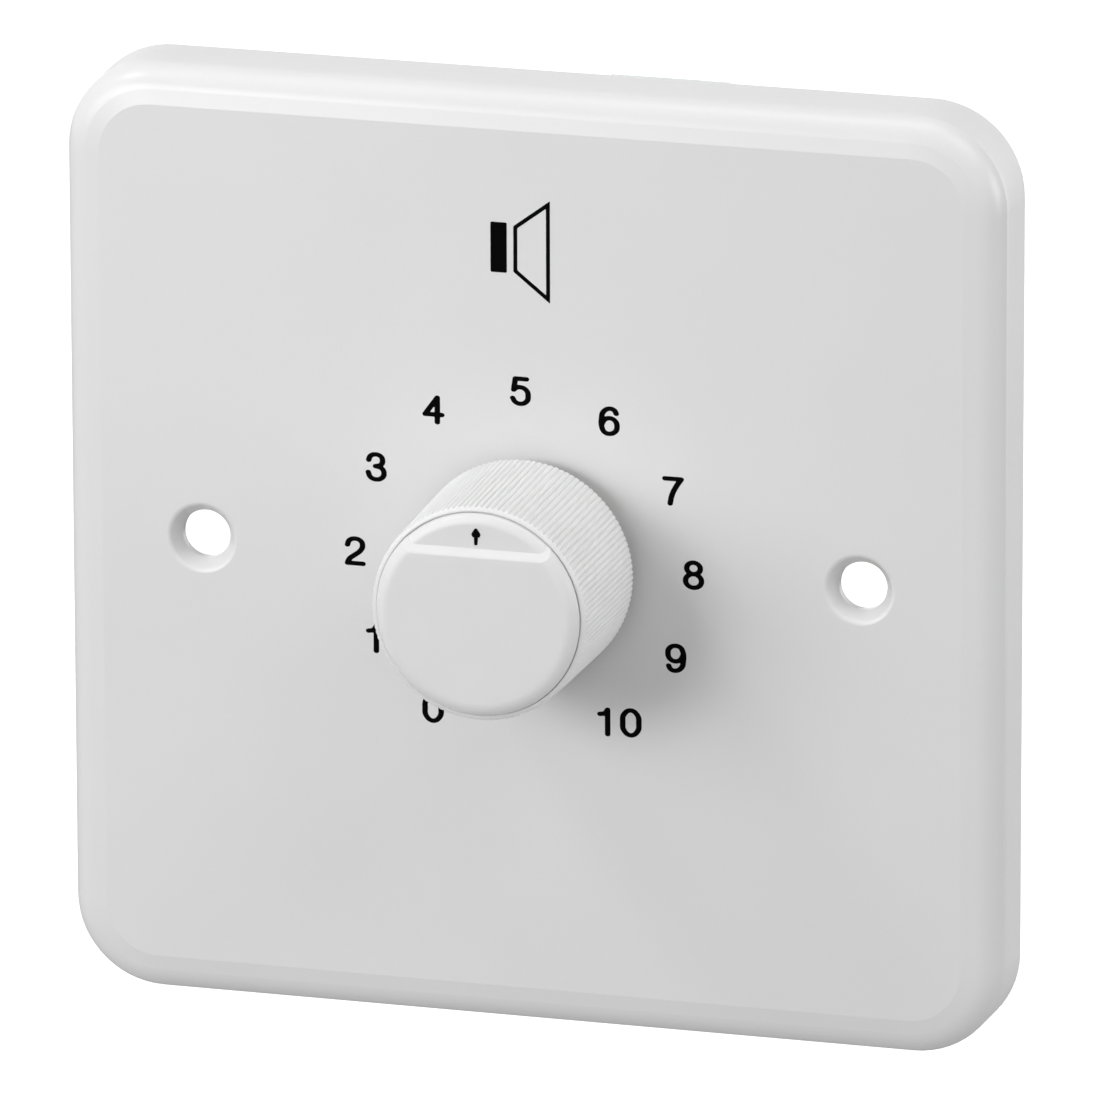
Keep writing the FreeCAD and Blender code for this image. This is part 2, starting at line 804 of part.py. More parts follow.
def switch_rotor():
    """Moulded rotor on the flatted spindle, with a radial bore for each ball and a stop lug."""
    contact_angle = math.degrees(moving_gap / stop_inner)
    lug_half_angle = 180.0 - turn_each_way - stop_tab_half_angle - contact_angle
    lug_front = switch_inner + moving_gap
    disc = cylinder(rotor_radius, rotor_front, rotor_rear)
    lug_inner = stop_inner - lug_overhang
    lug_outer = stop_outer + lug_overhang
    shapes = [disc, sector(lug_inner, lug_outer, 0.0, lug_half_angle, lug_front, rotor_front + weld_overlap)]
    for sign in (-1, 1):
        stake_end = rotor_rear + stake_height
        shapes.append(cylinder(stake_radius, rotor_rear - stake_height, stake_end, sign * stake_place, 0))
    body = joined(shapes)
    drive = cylinder(spindle_drive_radius + metal_fit, rotor_front - 1, rotor_rear + 1)
    flat = spindle_flat + metal_fit
    wide = spindle_radius
    drive = drive.cut(block(-wide, wide, rotor_front - 1, rotor_rear + 1, flat, wide))
    bores = []
    for sign in (-1, 1):
        start = FreeCAD.Vector(sign * ball_bore_bottom, 0, 0)
        length = rotor_radius - ball_bore_bottom + 1
        bores.append(Part.makeCylinder(ball_bore_radius, length, start, FreeCAD.Vector(sign, 0, 0)))
    return body.cut([drive] + bores)


def detent_balls():
    return [Part.makeSphere(ball_radius, FreeCAD.Vector(sign * ball_circle, 0, 0)) for sign in (-1, 1)]


def spring_at(turn):
    """Point and direction on the spring's wire, after some turns."""
    angle = 2 * math.pi * turn
    first = ball_bore_bottom + 0.1 + spring_wire_radius
    across = spring_radius * math.cos(angle)
    up = spring_radius * math.sin(angle)
    place = FreeCAD.Vector(first + spring_pitch * turn, across, up)
    direction = FreeCAD.Vector(spring_pitch / (2 * math.pi), -up, across)
    return place, direction.normalize()


def arc_from(start, tangent_length, corner, end):
    """The arc that leaves start towards corner and reaches end."""
    chord = end - start
    half = chord.Length / 2
    turn = 2 * math.acos(min(1.0, half / tangent_length))
    middle = (start + end) * 0.5
    outward = (corner - middle).normalize()
    return Part.Arc(start, middle + outward * (half * math.tan(turn / 4)), end).toShape()


def biarc(start, start_way, end, end_way):
    """Two arcs that join two points along their directions."""
    across = end - start
    ways = start_way + end_way
    along = across.dot(ways)
    spread = 2 * (1 - start_way.dot(end_way))
    reach = (-along + math.sqrt(along * along + spread * across.dot(across))) / spread
    corner_a = start + start_way * reach
    corner_b = end - end_way * reach
    joint = (corner_a + corner_b) * 0.5
    return [arc_from(start, reach, corner_a, joint), arc_from(joint, reach, corner_b, end)]


def detent_spring():
    quarters = spring_turns * 4
    places = [spring_at(index / 4) for index in range(quarters + 1)]
    tail = 2 * spring_wire_radius
    first, first_way = places[0]
    last, last_way = places[-1]
    edges = [Part.makeLine(first - first_way * tail, first)]
    for (start, start_way), (end, end_way) in zip(places, places[1:]):
        edges.extend(biarc(start, start_way, end, end_way))
    edges.append(Part.makeLine(last, last + last_way * tail))
    ring = Part.Circle(first - first_way * tail, first_way, spring_wire_radius).toShape()
    shell = Part.BRepOffsetAPI.MakePipeShell(Part.Wire(edges))
    shell.add(Part.Wire([ring]))
    shell.build()
    shell.makeSolid()
    return shell.shape()


def spring_gap():
    """Least gap of the spring's wire to itself, measured on points a turn apart or more."""
    steps = 48
    points = [spring_at(index / steps)[0] for index in range(spring_turns * steps + 1)]
    least = 100.0
    for index, point in enumerate(points):
        for other in points[index + steps // 2:]:
            least = min(least, (point - other).Length)
    return least - 2 * spring_wire_radius


def detent_springs():
    right = detent_spring()
    left = right.copy()
    left.rotate(FreeCAD.Vector(0, 0, 0), FreeCAD.Vector(0, 1, 0), 180)
    print("least gap of the spring to itself", round(spring_gap(), 3), "mm")
    return [right, left]


def wiper():
    """Bronze spring arm that joins the ring contact to one switched contact."""
    rear = rotor_rear + wiper_thickness
    end = contact_circle + wiper_foot_rear
    shapes = [cylinder(wiper_disc_radius, rotor_rear, rear)]
    shapes.append(block(-wiper_arm_half, wiper_arm_half, rotor_rear, rear, 0, end))
    shapes.append(cylinder(wiper_arm_half, rotor_rear, rear, 0, end))
    for reach in (common_circle, contact_circle):
        foot = FreeCAD.Vector(0, rear - 0.1, reach)
        height = wiper_thickness + 0.1
        along = FreeCAD.Vector(0, 1, 0)
        shapes.append(Part.makeCone(wiper_foot_rear, wiper_foot_tip, height, foot, along))
    holes = [cylinder(wiper_bore, rotor_rear, rear)]
    for sign in (-1, 1):
        holes.append(cylinder(stake_radius + metal_fit, rotor_rear, rear, sign * stake_place, 0))
    slit_from = common_circle + wiper_arm_half
    slit_to = contact_circle - wiper_arm_half
    holes.append(block(-wiper_slit / 2, wiper_slit / 2, rotor_rear, rear, slit_from, slit_to))
    return joined(shapes).cut(holes)


def riveted_contact(x, z):
    head = cylinder(contact_head_radius, contact_face, base_front, x, z)
    pin = cylinder(contact_pin_radius, base_front, pin_tip_rear, x, z)
    return joined([head, pin])


def fixed_contacts():
    return [riveted_contact(*at_clock(contact_circle, degrees)) for degrees in contact_clocks()]


def common_contact():
    ring = tube(common_outer, common_inner, contact_face, base_front)
    pin = cylinder(contact_pin_radius, contact_face, pin_tip_rear, 0, -common_circle)
    return joined([ring, pin])


# Circuit board

def terminal_centres():
    middle = (terminal_count - 1) / 2
    return [(index - middle) * terminal_pitch for index in range(terminal_count)]


def bobbin_pin_places():
    middle = (pins_per_row - 1) / 2
    places = []
    for sign in (-1, 1):
        for index in range(pins_per_row):
            places.append((sign * pin_x, core_centre_z + (index - middle) * pin_pitch))
    return places


def pillar_places():
    return [(sign_x * pillar_x, sign_z * pillar_z) for sign_x in (-1, 1) for sign_z in (-1, 1)]


def circuit_board():
    middle = (board_top + board_bottom) / 2
    half_height = (board_top - board_bottom) / 2
    board = rounded_prism(board_half_width, half_height, board_corner, board_front, board_rear, middle)
    contacts = [at_clock(contact_circle, degrees) for degrees in contact_clocks()] + [(0, -common_circle)]
    groups = (
        (board_screw_radius + board_screw_hole_fit, pillar_places()),
        (contact_pin_radius + pin_hole_fit, contacts),
        (pin_radius + pin_hole_fit, bobbin_pin_places()),
    )
    holes = []
    for radius, places in groups:
        holes += [cylinder(radius, board_front, board_rear, x, z) for x, z in places]
    half_slot = bar_half_width + pin_hole_fit
    slot_low = chamber_top - bar_thickness - pin_hole_fit
    slot_high = chamber_top + pin_hole_fit
    for x in terminal_centres():
        holes.append(block(x - half_slot, x + half_slot, board_front, board_rear, slot_low, slot_high))
    return board.cut(holes)


def board_screw(x, z):
    """Pan-head screw with a cross recess, driven from behind."""
    head_rear = board_rear + board_screw_head_height
    head = cylinder(board_screw_head_radius, board_rear, head_rear, x, z)
    rim = [e for e in head.Edges if e.BoundBox.YMin > head_rear - 0.01]
    head = head.makeFillet(board_screw_round, rim)
    shank = cylinder(board_screw_radius, board_rear - board_screw_length, board_rear, x, z)
    half = cross_half_width
    arm = cross_half_length
    floor = head_rear - cross_depth
    cross = [
        block(x - half, x + half, floor, head_rear + 1, z - arm, z + arm),
        block(x - arm, x + arm, floor, head_rear + 1, z - half, z + half),
    ]
    return joined([head, shank]).cut(cross)


def board_screws():
    return [board_screw(x, z) for x, z in pillar_places()]


# Terminal block

chamber_floor = board_rear + terminal_floor
cage_rest = chamber_floor + moving_gap
cage_roof_rear = cage_rest + cage_height
chamber_roof = cage_roof_rear + cage_travel + moving_gap
neck_rear = chamber_roof + terminal_roof
head_front = neck_rear + moving_gap
head_rear_level = head_front + clamp_head_height
head_roof = head_rear_level + head_space
terminal_rear = board_rear + terminal_height
bar_front = cage_roof_rear - cage_roof - moving_gap - bar_thickness


def terminal_housing():
    """Moulded block with a chamber, a wire mouth and a screw well for each clamp."""
    half = terminal_count * terminal_pitch / 2 + terminal_end_wall
    body = block(-half, half, board_rear, terminal_rear, terminal_bottom, terminal_top)
    edges = [e for e in body.Edges if e.BoundBox.YMin > terminal_rear - 0.01 and e.BoundBox.XLength > 1]
    body = body.makeChamfer(housing_chamfer, edges)
    axis = clamp_axis_z
    entry_rear = bar_front - entry_gap
    entry_front = entry_rear - entry_height
    leg_low = chamber_top - bar_thickness - metal_fit
    cuts = []
    for x in terminal_centres():
        left = x - chamber_half_width
        right = x + chamber_half_width
        cuts.append(block(left, right, chamber_floor, chamber_roof, chamber_bottom, chamber_top))
        cuts.append(cylinder(clamp_screw_radius + moving_gap, chamber_roof, neck_rear, x, axis))
        cuts.append(cylinder(clamp_head_radius + well_fit, neck_rear, head_roof, x, axis))
        cuts.append(cylinder(clamp_head_radius - well_lip, head_roof, terminal_rear + 1, x, axis))
        left = x - entry_half_width
        right = x + entry_half_width
        cuts.append(block(left, right, entry_front, entry_rear, terminal_bottom - 1, chamber_bottom))
        left = x - bar_half_width - metal_fit
        right = x + bar_half_width + metal_fit
        cuts.append(block(left, right, board_rear - 1, chamber_floor, leg_low, chamber_top))
    return body.cut(cuts)


def terminal_bar(x):
    """Fixed contact bar inside a cage, with its leg through the board."""
    bar = block(x - bar_half_width, x + bar_half_width, bar_front, bar_front + bar_thickness,
                chamber_bottom + bar_end_gap, chamber_top)
    leg = block(x - bar_half_width, x + bar_half_width, pin_tip_front, bar_front,
                chamber_top - bar_thickness, chamber_top)
    return joined([bar, leg])


def clamp_cage(x):
    """Rising cage; the screw's thread lifts it towards the bar."""
    front = cage_rest
    rear = cage_roof_rear
    low = clamp_axis_z - cage_half_depth
    high = clamp_axis_z + cage_half_depth
    body = block(x - cage_half_width, x + cage_half_width, front, rear, low, high)
    inner = cage_half_width - cage_side_wall
    window = block(x - inner, x + inner, front + cage_floor, rear - cage_roof, low - 1, high + 1)
    thread = cylinder(clamp_screw_radius + clamp_fit, rear - cage_roof, rear, x, clamp_axis_z)
    return body.cut([window, thread])


def clamp_screw(x):
    """Slotted screw that stays at its height as it turns."""
    head = cylinder(clamp_head_radius, head_front, head_rear_level, x, clamp_axis_z)
    tip = bar_front + bar_thickness + screw_past_bar
    shank = cylinder(clamp_screw_radius, tip, head_front, x, clamp_axis_z)
    half = clamp_slot_width / 2
    low = clamp_axis_z - clamp_head_radius - 1
    high = clamp_axis_z + clamp_head_radius + 1
    slot = block(x - half, x + half, head_rear_level - clamp_slot_depth, head_rear_level + 1, low, high)
    return joined([head, shank]).cut(slot)


# Transformer

def core_plate(x, yoke_front, is_e):
    """One lamination across the stack; the yoke lies at the front or at the rear."""
    half = core_width / 2
    low = core_centre_z - half
    high = core_centre_z + half
    end = x + lamination_thickness
    if is_e:
        plate = block(x, end, core_front, window_rear - metal_fit, low, high)
        windows = []
        for sign in (-1, 1):
            near, far = sorted((core_centre_z + sign * core_limb, core_centre_z + sign * 2 * core_limb))
            windows.append(block(x, end, window_front, core_rear, near, far))
        plate = plate.cut(windows)
    else:
        plate = block(x, end, window_rear, core_rear, low, high)
    if not yoke_front:
        plate = plate.mirror(FreeCAD.Vector(0, (core_front + core_rear) / 2, 0), FreeCAD.Vector(0, 1, 0))
    return plate


def core_plates(is_e):
    count = int(core_stack / lamination_pitch)
    start = -core_stack / 2 + (lamination_pitch - lamination_thickness) / 2
    return [core_plate(start + index * lamination_pitch, index % 2 == 0, is_e) for index in range(count)]


def core_clamp():
    """Steel band over the core, with its ends bent under it."""
    half = core_width / 2 + metal_fit
    outer = half + strap_thickness
    front = core_front - strap_thickness
    rear = core_rear + strap_thickness
    band = rounded_band(outer, front, rear)
    wide = strap_half_width + 1
    low = core_centre_z - half
    high = core_centre_z + half
    hollow = block(-wide, wide, core_front, core_rear + metal_fit, low, high)
    mouth = block(-wide, wide, front - 1, core_front, low + strap_lip, high - strap_lip)
    return band.cut([hollow, mouth])


def rounded_band(outer, front, rear):
    low = core_centre_z - outer
    high = core_centre_z + outer
    body = block(-strap_half_width, strap_half_width, front, rear, low, high)
    edges = [e for e in body.Edges if e.BoundBox.XLength > strap_half_width and e.BoundBox.YLength < 0.01]
    return body.makeFillet(strap_thickness * 0.9, edges)


def bobbin():
    """Moulded former: a tube in the core's window, two flanges and a pin rail on each side."""
    inner_x = core_stack / 2 + bobbin_clearance
    inner_z = core_limb + bobbin_clearance
    outer_x = inner_x + bobbin_wall
    outer_z = inner_z + bobbin_wall
    middle = core_centre_z
    front = bobbin_front
    rear = bobbin_rear
    rear_half_x = flange_half_x - flange_step
    shapes = [
        block(-outer_x, outer_x, front, rear, middle - outer_z, middle + outer_z),
        rounded_prism(flange_half_x, flange_half_z, flange_round, front, front + bobbin_wall, middle),
        rounded_prism(rear_half_x, flange_half_z, flange_round, rear - bobbin_wall, rear, middle),
    ]
    rail_front = board_rear + rail_gap_to_board
    for sign in (-1, 1):
        low_x, high_x = sorted((sign * rail_inner_x, sign * flange_half_x))
        low_z = middle - rail_half_z
        high_z = middle + rail_half_z
        shapes.append(block(low_x, high_x, rail_front, front + bobbin_wall / 2, low_z, high_z))
        foot_rear = rail_front + weld_overlap
        for foot_z in (low_z, high_z - rail_foot):
            shapes.append(block(low_x, high_x, board_rear, foot_rear, foot_z, foot_z + rail_foot))
    body = joined(shapes)
    cuts = [block(-inner_x, inner_x, front - 1, rear + 1, middle - inner_z, middle + inner_z)]
    cuts += [cylinder(pin_radius, rail_front - 1, front - pin_seat, x, z) for x, z in bobbin_pin_places()]
    return body.cut(cuts)


def bobbin_pins():
    end = bobbin_front - pin_seat
    return [cylinder(pin_radius, pin_tip_front, end, x, z) for x, z in bobbin_pin_places()]


def winding():
    """Wound copper as one body on the former's tube."""
    front = bobbin_front + bobbin_wall
    rear = bobbin_rear - bobbin_wall
    hollow_x = core_stack / 2 + bobbin_clearance + bobbin_wall
    hollow_z = core_limb + bobbin_clearance + bobbin_wall
    low = core_centre_z - hollow_z
    high = core_centre_z + hollow_z
    body = rounded_prism(winding_half_x, winding_half_z, winding_round, front, rear, core_centre_z)
    return body.cut(block(-hollow_x, hollow_x, front, rear, low, high))


def winding_tape():
    front = bobbin_front + bobbin_wall + tape_inset
    rear = bobbin_rear - bobbin_wall - tape_inset
    grown_x = winding_half_x + tape_thickness
    grown_z = winding_half_z + tape_thickness
    outer = rounded_prism(grown_x, grown_z, winding_round + tape_thickness, front, rear, core_centre_z)
    inner = rounded_prism(winding_half_x, winding_half_z, winding_round, front, rear, core_centre_z)
    return outer.cut(inner)


def winding_lead(sign, z):
    """Wire from the winding over the flange, down the rail and in to its pin."""
    level = bobbin_front + bobbin_wall + lead_radius + lead_lift
    bottom = board_rear + lead_radius + lead_clearance
    side = flange_half_x + lead_radius + lead_clearance
    start = winding_half_x + tape_thickness
    end = pin_x + pin_radius
    lean = lead_bend * math.sqrt(0.5)
    points = [
        (start, level),
        (side - lead_bend, level),
        (side - lead_bend + lean, level - lead_bend + lean),
        (side, level - lead_bend),
        (side, bottom + lead_bend),
        (side - lead_bend + lean, bottom + lead_bend - lean),
        (side - lead_bend, bottom),
        (end, bottom),
    ]
    spots = [FreeCAD.Vector(sign * x, y, z) for x, y in points]
    edges = [
        Part.makeLine(spots[0], spots[1]),
        Part.Arc(spots[1], spots[2], spots[3]).toShape(),
        Part.makeLine(spots[3], spots[4]),
        Part.Arc(spots[4], spots[5], spots[6]).toShape(),
        Part.makeLine(spots[6], spots[7]),
    ]
    ring = Part.Circle(spots[0], FreeCAD.Vector(1, 0, 0), lead_radius).toShape()
    return Part.Wire(edges).makePipeShell([Part.Wire([ring])], True, False)


def winding_leads():
    return [winding_lead(1 if x > 0 else -1, z) for x, z in bobbin_pin_places()]


save("faceplate", faceplate())
save("knob_body", knob_body())
save("knob_cap", knob_cap())
save("knob_insert", knob_insert())
save("knob_collet", knob_collet())
save("collet_nut", collet_nut())
save("spindle", spindle())
save("spindle_clip", spindle_clip())
save("bushing", bushing())
save("lock_washer", lock_washer())
save("bushing_nut", bushing_nut())
save("stop_ring", stop_ring())
save("switch_housing", switch_housing())
save("switch_base", switch_base())
save("switch_rotor", switch_rotor())
save("detent_balls", detent_balls())
save("detent_springs", detent_springs())
save("wiper", wiper())
save("fixed_contacts", fixed_contacts())
save("common_contact", common_contact())
save("circuit_board", circuit_board())
save("board_screws", board_screws())
save("terminal_housing", terminal_housing())
save("terminal_bars", [terminal_bar(x) for x in terminal_centres()])
for number, x in enumerate(terminal_centres(), start=1):
    save("clamp_screw_" + str(number), clamp_screw(x))
    save("clamp_cage_" + str(number), clamp_cage(x))
save("core_e_plates", core_plates(True))
save("core_i_plates", core_plates(False))
save("core_clamp", core_clamp())
save("bobbin", bobbin())
save("bobbin_pins", bobbin_pins())
save("winding", winding())
save("winding_tape", winding_tape())
save("winding_leads", winding_leads())
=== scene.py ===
import math

import bmesh
import bpy
from mathutils import Euler, Matrix, Vector


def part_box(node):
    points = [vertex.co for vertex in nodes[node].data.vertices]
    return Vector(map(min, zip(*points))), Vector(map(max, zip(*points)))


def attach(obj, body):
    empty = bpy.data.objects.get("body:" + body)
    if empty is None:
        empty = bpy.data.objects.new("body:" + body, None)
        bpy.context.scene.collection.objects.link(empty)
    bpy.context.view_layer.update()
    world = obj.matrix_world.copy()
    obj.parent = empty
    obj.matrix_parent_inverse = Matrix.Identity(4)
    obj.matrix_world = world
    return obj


# Wall-plate volume control: X right, Y into the wall, Z up, in metres.
# The plate's centre on the wall is the origin and the knob turns about the Y axis.
# Settings of pieces and finishes are in millimetres, those of the camera, lamps and floor in metres.

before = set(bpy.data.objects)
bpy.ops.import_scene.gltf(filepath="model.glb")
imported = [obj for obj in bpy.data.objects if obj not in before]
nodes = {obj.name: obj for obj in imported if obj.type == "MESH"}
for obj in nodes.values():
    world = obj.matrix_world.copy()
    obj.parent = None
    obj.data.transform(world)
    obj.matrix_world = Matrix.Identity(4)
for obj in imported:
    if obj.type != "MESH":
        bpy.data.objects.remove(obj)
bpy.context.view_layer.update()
mm = 0.001
samePoint = 0.001  # millimetres within which two points count as one
scene = bpy.context.scene
print("frame loaded:", len(nodes), "nodes")


# Small helpers

def colour(code):
    channels = [int(code[i:i + 2], 16) / 255 for i in (1, 3, 5)]
    linear = [c / 12.92 if c <= 0.04045 else ((c + 0.055) / 1.055) ** 2.4 for c in channels]
    return (*linear, 1.0)


def addNode(tree, kind, settings=None, links=None):
    # lower-case settings are the node's own, the others are its sockets
    node = tree.nodes.new("ShaderNode" + kind)
    for name, value in (settings or {}).items():
        if isinstance(name, str) and name[0].islower():
            setattr(node, name, value)
        else:
            node.inputs[name].default_value = value
    for name, source in (links or {}).items():
        tree.links.new(source, node.inputs[name])
    return node


def startMaterial(name, base, roughness, metallic=0.0):
    # returns the shader and Object coordinates in millimetres
    material = bpy.data.materials.new(name)
    material.use_nodes = True
    material.diffuse_color = colour(base)
    tree = material.node_tree
    shader = tree.nodes["Principled BSDF"]
    shader.inputs["Base Color"].default_value = colour(base)
    shader.inputs["Roughness"].default_value = roughness
    shader.inputs["Metallic"].default_value = metallic
    place = addNode(tree, "TexCoord")
    scaled = addNode(tree, "Mapping", {"Scale": (1000, 1000, 1000)}, {"Vector": place.outputs["Object"]})
    return material, tree, shader, scaled.outputs["Vector"]


def grain(tree, place, size, detail=2.0, rough=0.5, stretch=(1, 1, 1)):
    # soft random pattern; size is the width of one grain in millimetres
    scale = tuple(part / size for part in stretch)
    shaped = addNode(tree, "Mapping", {"Scale": scale}, {"Vector": place})
    noise = addNode(tree, "TexNoise", {"Scale": 1.0, "Detail": detail, "Roughness": rough},
                    {"Vector": shaped.outputs["Vector"]})
    return noise.outputs["Fac"]


def spread(tree, source, low, high, start=0.3, end=0.7):
    # turns a pattern into values from low to high
    node = addNode(tree, "MapRange", {"From Min": start, "From Max": end, "To Min": low, "To Max": high},
                   {"Value": source})
    return node.outputs["Result"]


def tint(tree, source, dark, light):
    # blends two colours by a 0 to 1 pattern
    node = addNode(tree, "Mix", {"data_type": "RGBA", 6: colour(dark), 7: colour(light)}, {0: source})
    return node.outputs[2]


def roundPlace(tree, place):
    # distance from the knob's axis and depth, for marks that run round a turned piece
    parts = addNode(tree, "SeparateXYZ", links={"Vector": place})
    flat = addNode(tree, "CombineXYZ", links={"X": parts.outputs["X"], "Y": parts.outputs["Z"]})
    radius = addNode(tree, "VectorMath", {"operation": "LENGTH"}, {0: flat.outputs["Vector"]})
    joined = addNode(tree, "CombineXYZ", links={"X": radius.outputs["Value"], "Y": parts.outputs["Y"]})
    return joined.outputs["Vector"]


def raiseSurface(tree, shader, height, depth, under=None):
    # depth of the relief in millimetres
    bump = addNode(tree, "Bump", {"Strength": 1.0, "Distance": depth * mm}, {"Height": height})
    if under is not None:
        tree.links.new(under, bump.inputs["Normal"])
    tree.links.new(bump.outputs["Normal"], shader.inputs["Normal"])
    return bump.outputs["Normal"]


def plug(tree, source, shader, socket):
    tree.links.new(source, shader.inputs[socket])


def letLightIn(shader, weight, reach):
    # pale plastics glow a little from inside; reach in millimetres
    shader.inputs["Subsurface Weight"].default_value = weight
    shader.inputs["Subsurface Radius"].default_value = (1, 1, 1)
    shader.inputs["Subsurface Scale"].default_value = reach * mm


def dress(material, *names):
    for name in names:
        for slot in nodes[name].material_slots:
            slot.material = material


def makePiece(name, mesh, material, body):
    # links a finished mesh, in metres in its place, and ties it to its body
    mesh.name = name
    mesh.materials.clear()
    mesh.materials.append(material)
    piece = bpy.data.objects.new(name, mesh)
    scene.collection.objects.link(piece)
    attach(piece, body)
    return piece


def shadeSmooth(mesh, degrees=None):
    mesh.shade_smooth()
    if degrees is not None:
        mesh.set_sharp_from_angle(angle=math.radians(degrees))


def meshInMetres(shape, name):
    # turns a shape drawn in millimetres into a mesh in metres
    bmesh.ops.scale(shape, vec=(mm, mm, mm), verts=shape.verts)
    mesh = bpy.data.meshes.new(name)
    shape.to_mesh(mesh)
    shape.free()
    return mesh


def bakeModifiers(mesh, modifiers):
    # runs modifiers over a mesh once and returns the result
    holder = bpy.data.objects.new("holder", mesh)
    scene.collection.objects.link(holder)
    for kind, settings in modifiers:
        modifier = holder.modifiers.new(kind.lower(), kind)
        for name, value in settings.items():
            setattr(modifier, name, value)
    bpy.context.view_layer.update()
    result = bpy.data.meshes.new_from_object(holder.evaluated_get(bpy.context.evaluated_depsgraph_get()))
    bpy.data.objects.remove(holder)
    return result


# Camera, at the photograph's angle

cameraView = {
    "place": (0.36400, -1.26387, 0.39201),
    "turn": (73.374, 0.1565, 16.037),
    "lens": 508.73,
    "sensor": 36.0,
}


def makeCamera(view):
    data = bpy.data.cameras.new("camera")
    data.sensor_width = view["sensor"]
    data.lens = view["lens"]
    camera = bpy.data.objects.new("camera", data)
    camera.location = view["place"]
    camera.rotation_euler = Euler([math.radians(a) for a in view["turn"]])
    scene.collection.objects.link(camera)
    scene.camera = camera


makeCamera(cameraView)


# Studio light: soft lamps 0.6 m away, given as degrees to the right of the plate's front, and degrees up

lamps = {
    "left": {"from": (-45, 15), "size": 0.3, "power": 0.82},
    "left_near": {"from": (-25, 15), "size": 0.18, "power": 0.82},
    "left_high": {"from": (-60, 50), "size": 0.12, "power": 0.49},
    "top": {"from": (-20, 82), "size": 0.3, "power": 0.46},
    "right_high": {"from": (60, 50), "size": 0.3, "power": 0.42},
    "right": {"from": (85, 10), "size": 0.3, "power": 0.88},
    "behind_left": {"from": (-168, 0), "size": 0.36, "power": 0.6},
    "behind_right": {"from": (168, 0), "size": 0.36, "power": 0.6},
}
lampDistance = 0.6
surroundings = {"colour": "#FFFFFF", "level": 0.42}


def makeLamp(name, settings):
    across, up = (math.radians(a) for a in settings["from"])
    aim = Vector((math.sin(across) * math.cos(up), -math.cos(across) * math.cos(up), math.sin(up)))
    data = bpy.data.lights.new(name, "AREA")
    data.shape = "DISK"
    data.size = settings["size"]
    data.energy = settings["power"]
    lamp = bpy.data.objects.new(name, data)
    lamp.location = aim * lampDistance
    lamp.rotation_euler = aim.to_track_quat("Z", "Y").to_euler()
    scene.collection.objects.link(lamp)


def makeSurroundings(settings):
    # plain white to the camera, in reflections and through clear pieces, weaker as light
    world = bpy.data.worlds.new("studio")
    world.use_nodes = True
    tree = world.node_tree
    background = tree.nodes["Background"]
    background.inputs["Color"].default_value = colour(settings["colour"])
    path = addNode(tree, "LightPath")
    seen = addNode(tree, "Math", {"operation": "MAXIMUM"},
                   {0: path.outputs["Is Camera Ray"], 1: path.outputs["Is Glossy Ray"]})
    through = addNode(tree, "Math", {"operation": "MAXIMUM"},
                      {0: seen.outputs["Value"], 1: path.outputs["Is Transmission Ray"]})
    level = addNode(tree, "MapRange", {"To Min": settings["level"], "To Max": 1.0},
                    {"Value": through.outputs["Value"]})
    tree.links.new(level.outputs["Result"], background.inputs["Strength"])
    scene.world = world


for lampName, lampSettings in lamps.items():
    makeLamp(lampName, lampSettings)
makeSurroundings(surroundings)
scene.view_settings.view_transform = "Standard"


# Floor: a pale sheet well below the control, so its shadow stays on it out of the view

floorSheet = {
    "level": -0.6,
    "half": 4.0,
    "colour": "#D8D8D8",
    "glow": 0.72,
    "farGlow": 1.0,
    "nearby": 750,  # the glow grows between these distances, in millimetres
    "faraway": 1200,
}


def floorPaper(settings):
    # matt white paper; a camera-only glow lifts it to plain white, more so where the lamps no longer reach
    material, tree, shader, place = startMaterial("matt_paper_floor", settings["colour"], 0.9)
    output = tree.nodes["Material Output"]
    path = addNode(tree, "LightPath")
    shape = addNode(tree, "NewGeometry")
    reach = addNode(tree, "VectorMath", {"operation": "LENGTH"}, {0: place})
    lift = addNode(tree, "MapRange", {"From Min": settings["nearby"], "From Max": settings["faraway"],
                                      "To Min": settings["glow"], "To Max": settings["farGlow"]},
                   {"Value": reach.outputs["Value"]})
    glow = addNode(tree, "Math", {"operation": "MULTIPLY"},
                   {0: lift.outputs["Result"], 1: path.outputs["Is Camera Ray"]})
    plug(tree, glow.outputs["Value"], shader, "Emission Strength")
    shader.inputs["Emission Color"].default_value = (1, 1, 1, 1)
    clear = addNode(tree, "BsdfTransparent")
    sides = addNode(tree, "MixShader", links={0: shape.outputs["Backfacing"], 1: shader.outputs["BSDF"],
                                              2: clear.outputs["BSDF"]})
    tree.links.new(sides.outputs["Shader"], output.inputs["Surface"])
    return material


def makeFloor(settings):
    shape = bmesh.new()
    bmesh.ops.create_grid(shape, x_segments=1, y_segments=1, size=settings["half"])
    bmesh.ops.translate(shape, verts=shape.verts, vec=(0, 0, settings["level"]))
    mesh = bpy.data.meshes.new("floor")
    shape.to_mesh(mesh)
    shape.free()
    mesh.materials.append(floorPaper(settings))
    floor = bpy.data.objects.new("floor", mesh)
    scene.collection.objects.link(floor)


makeFloor(floorSheet)
print("studio ready")


# White mouldings

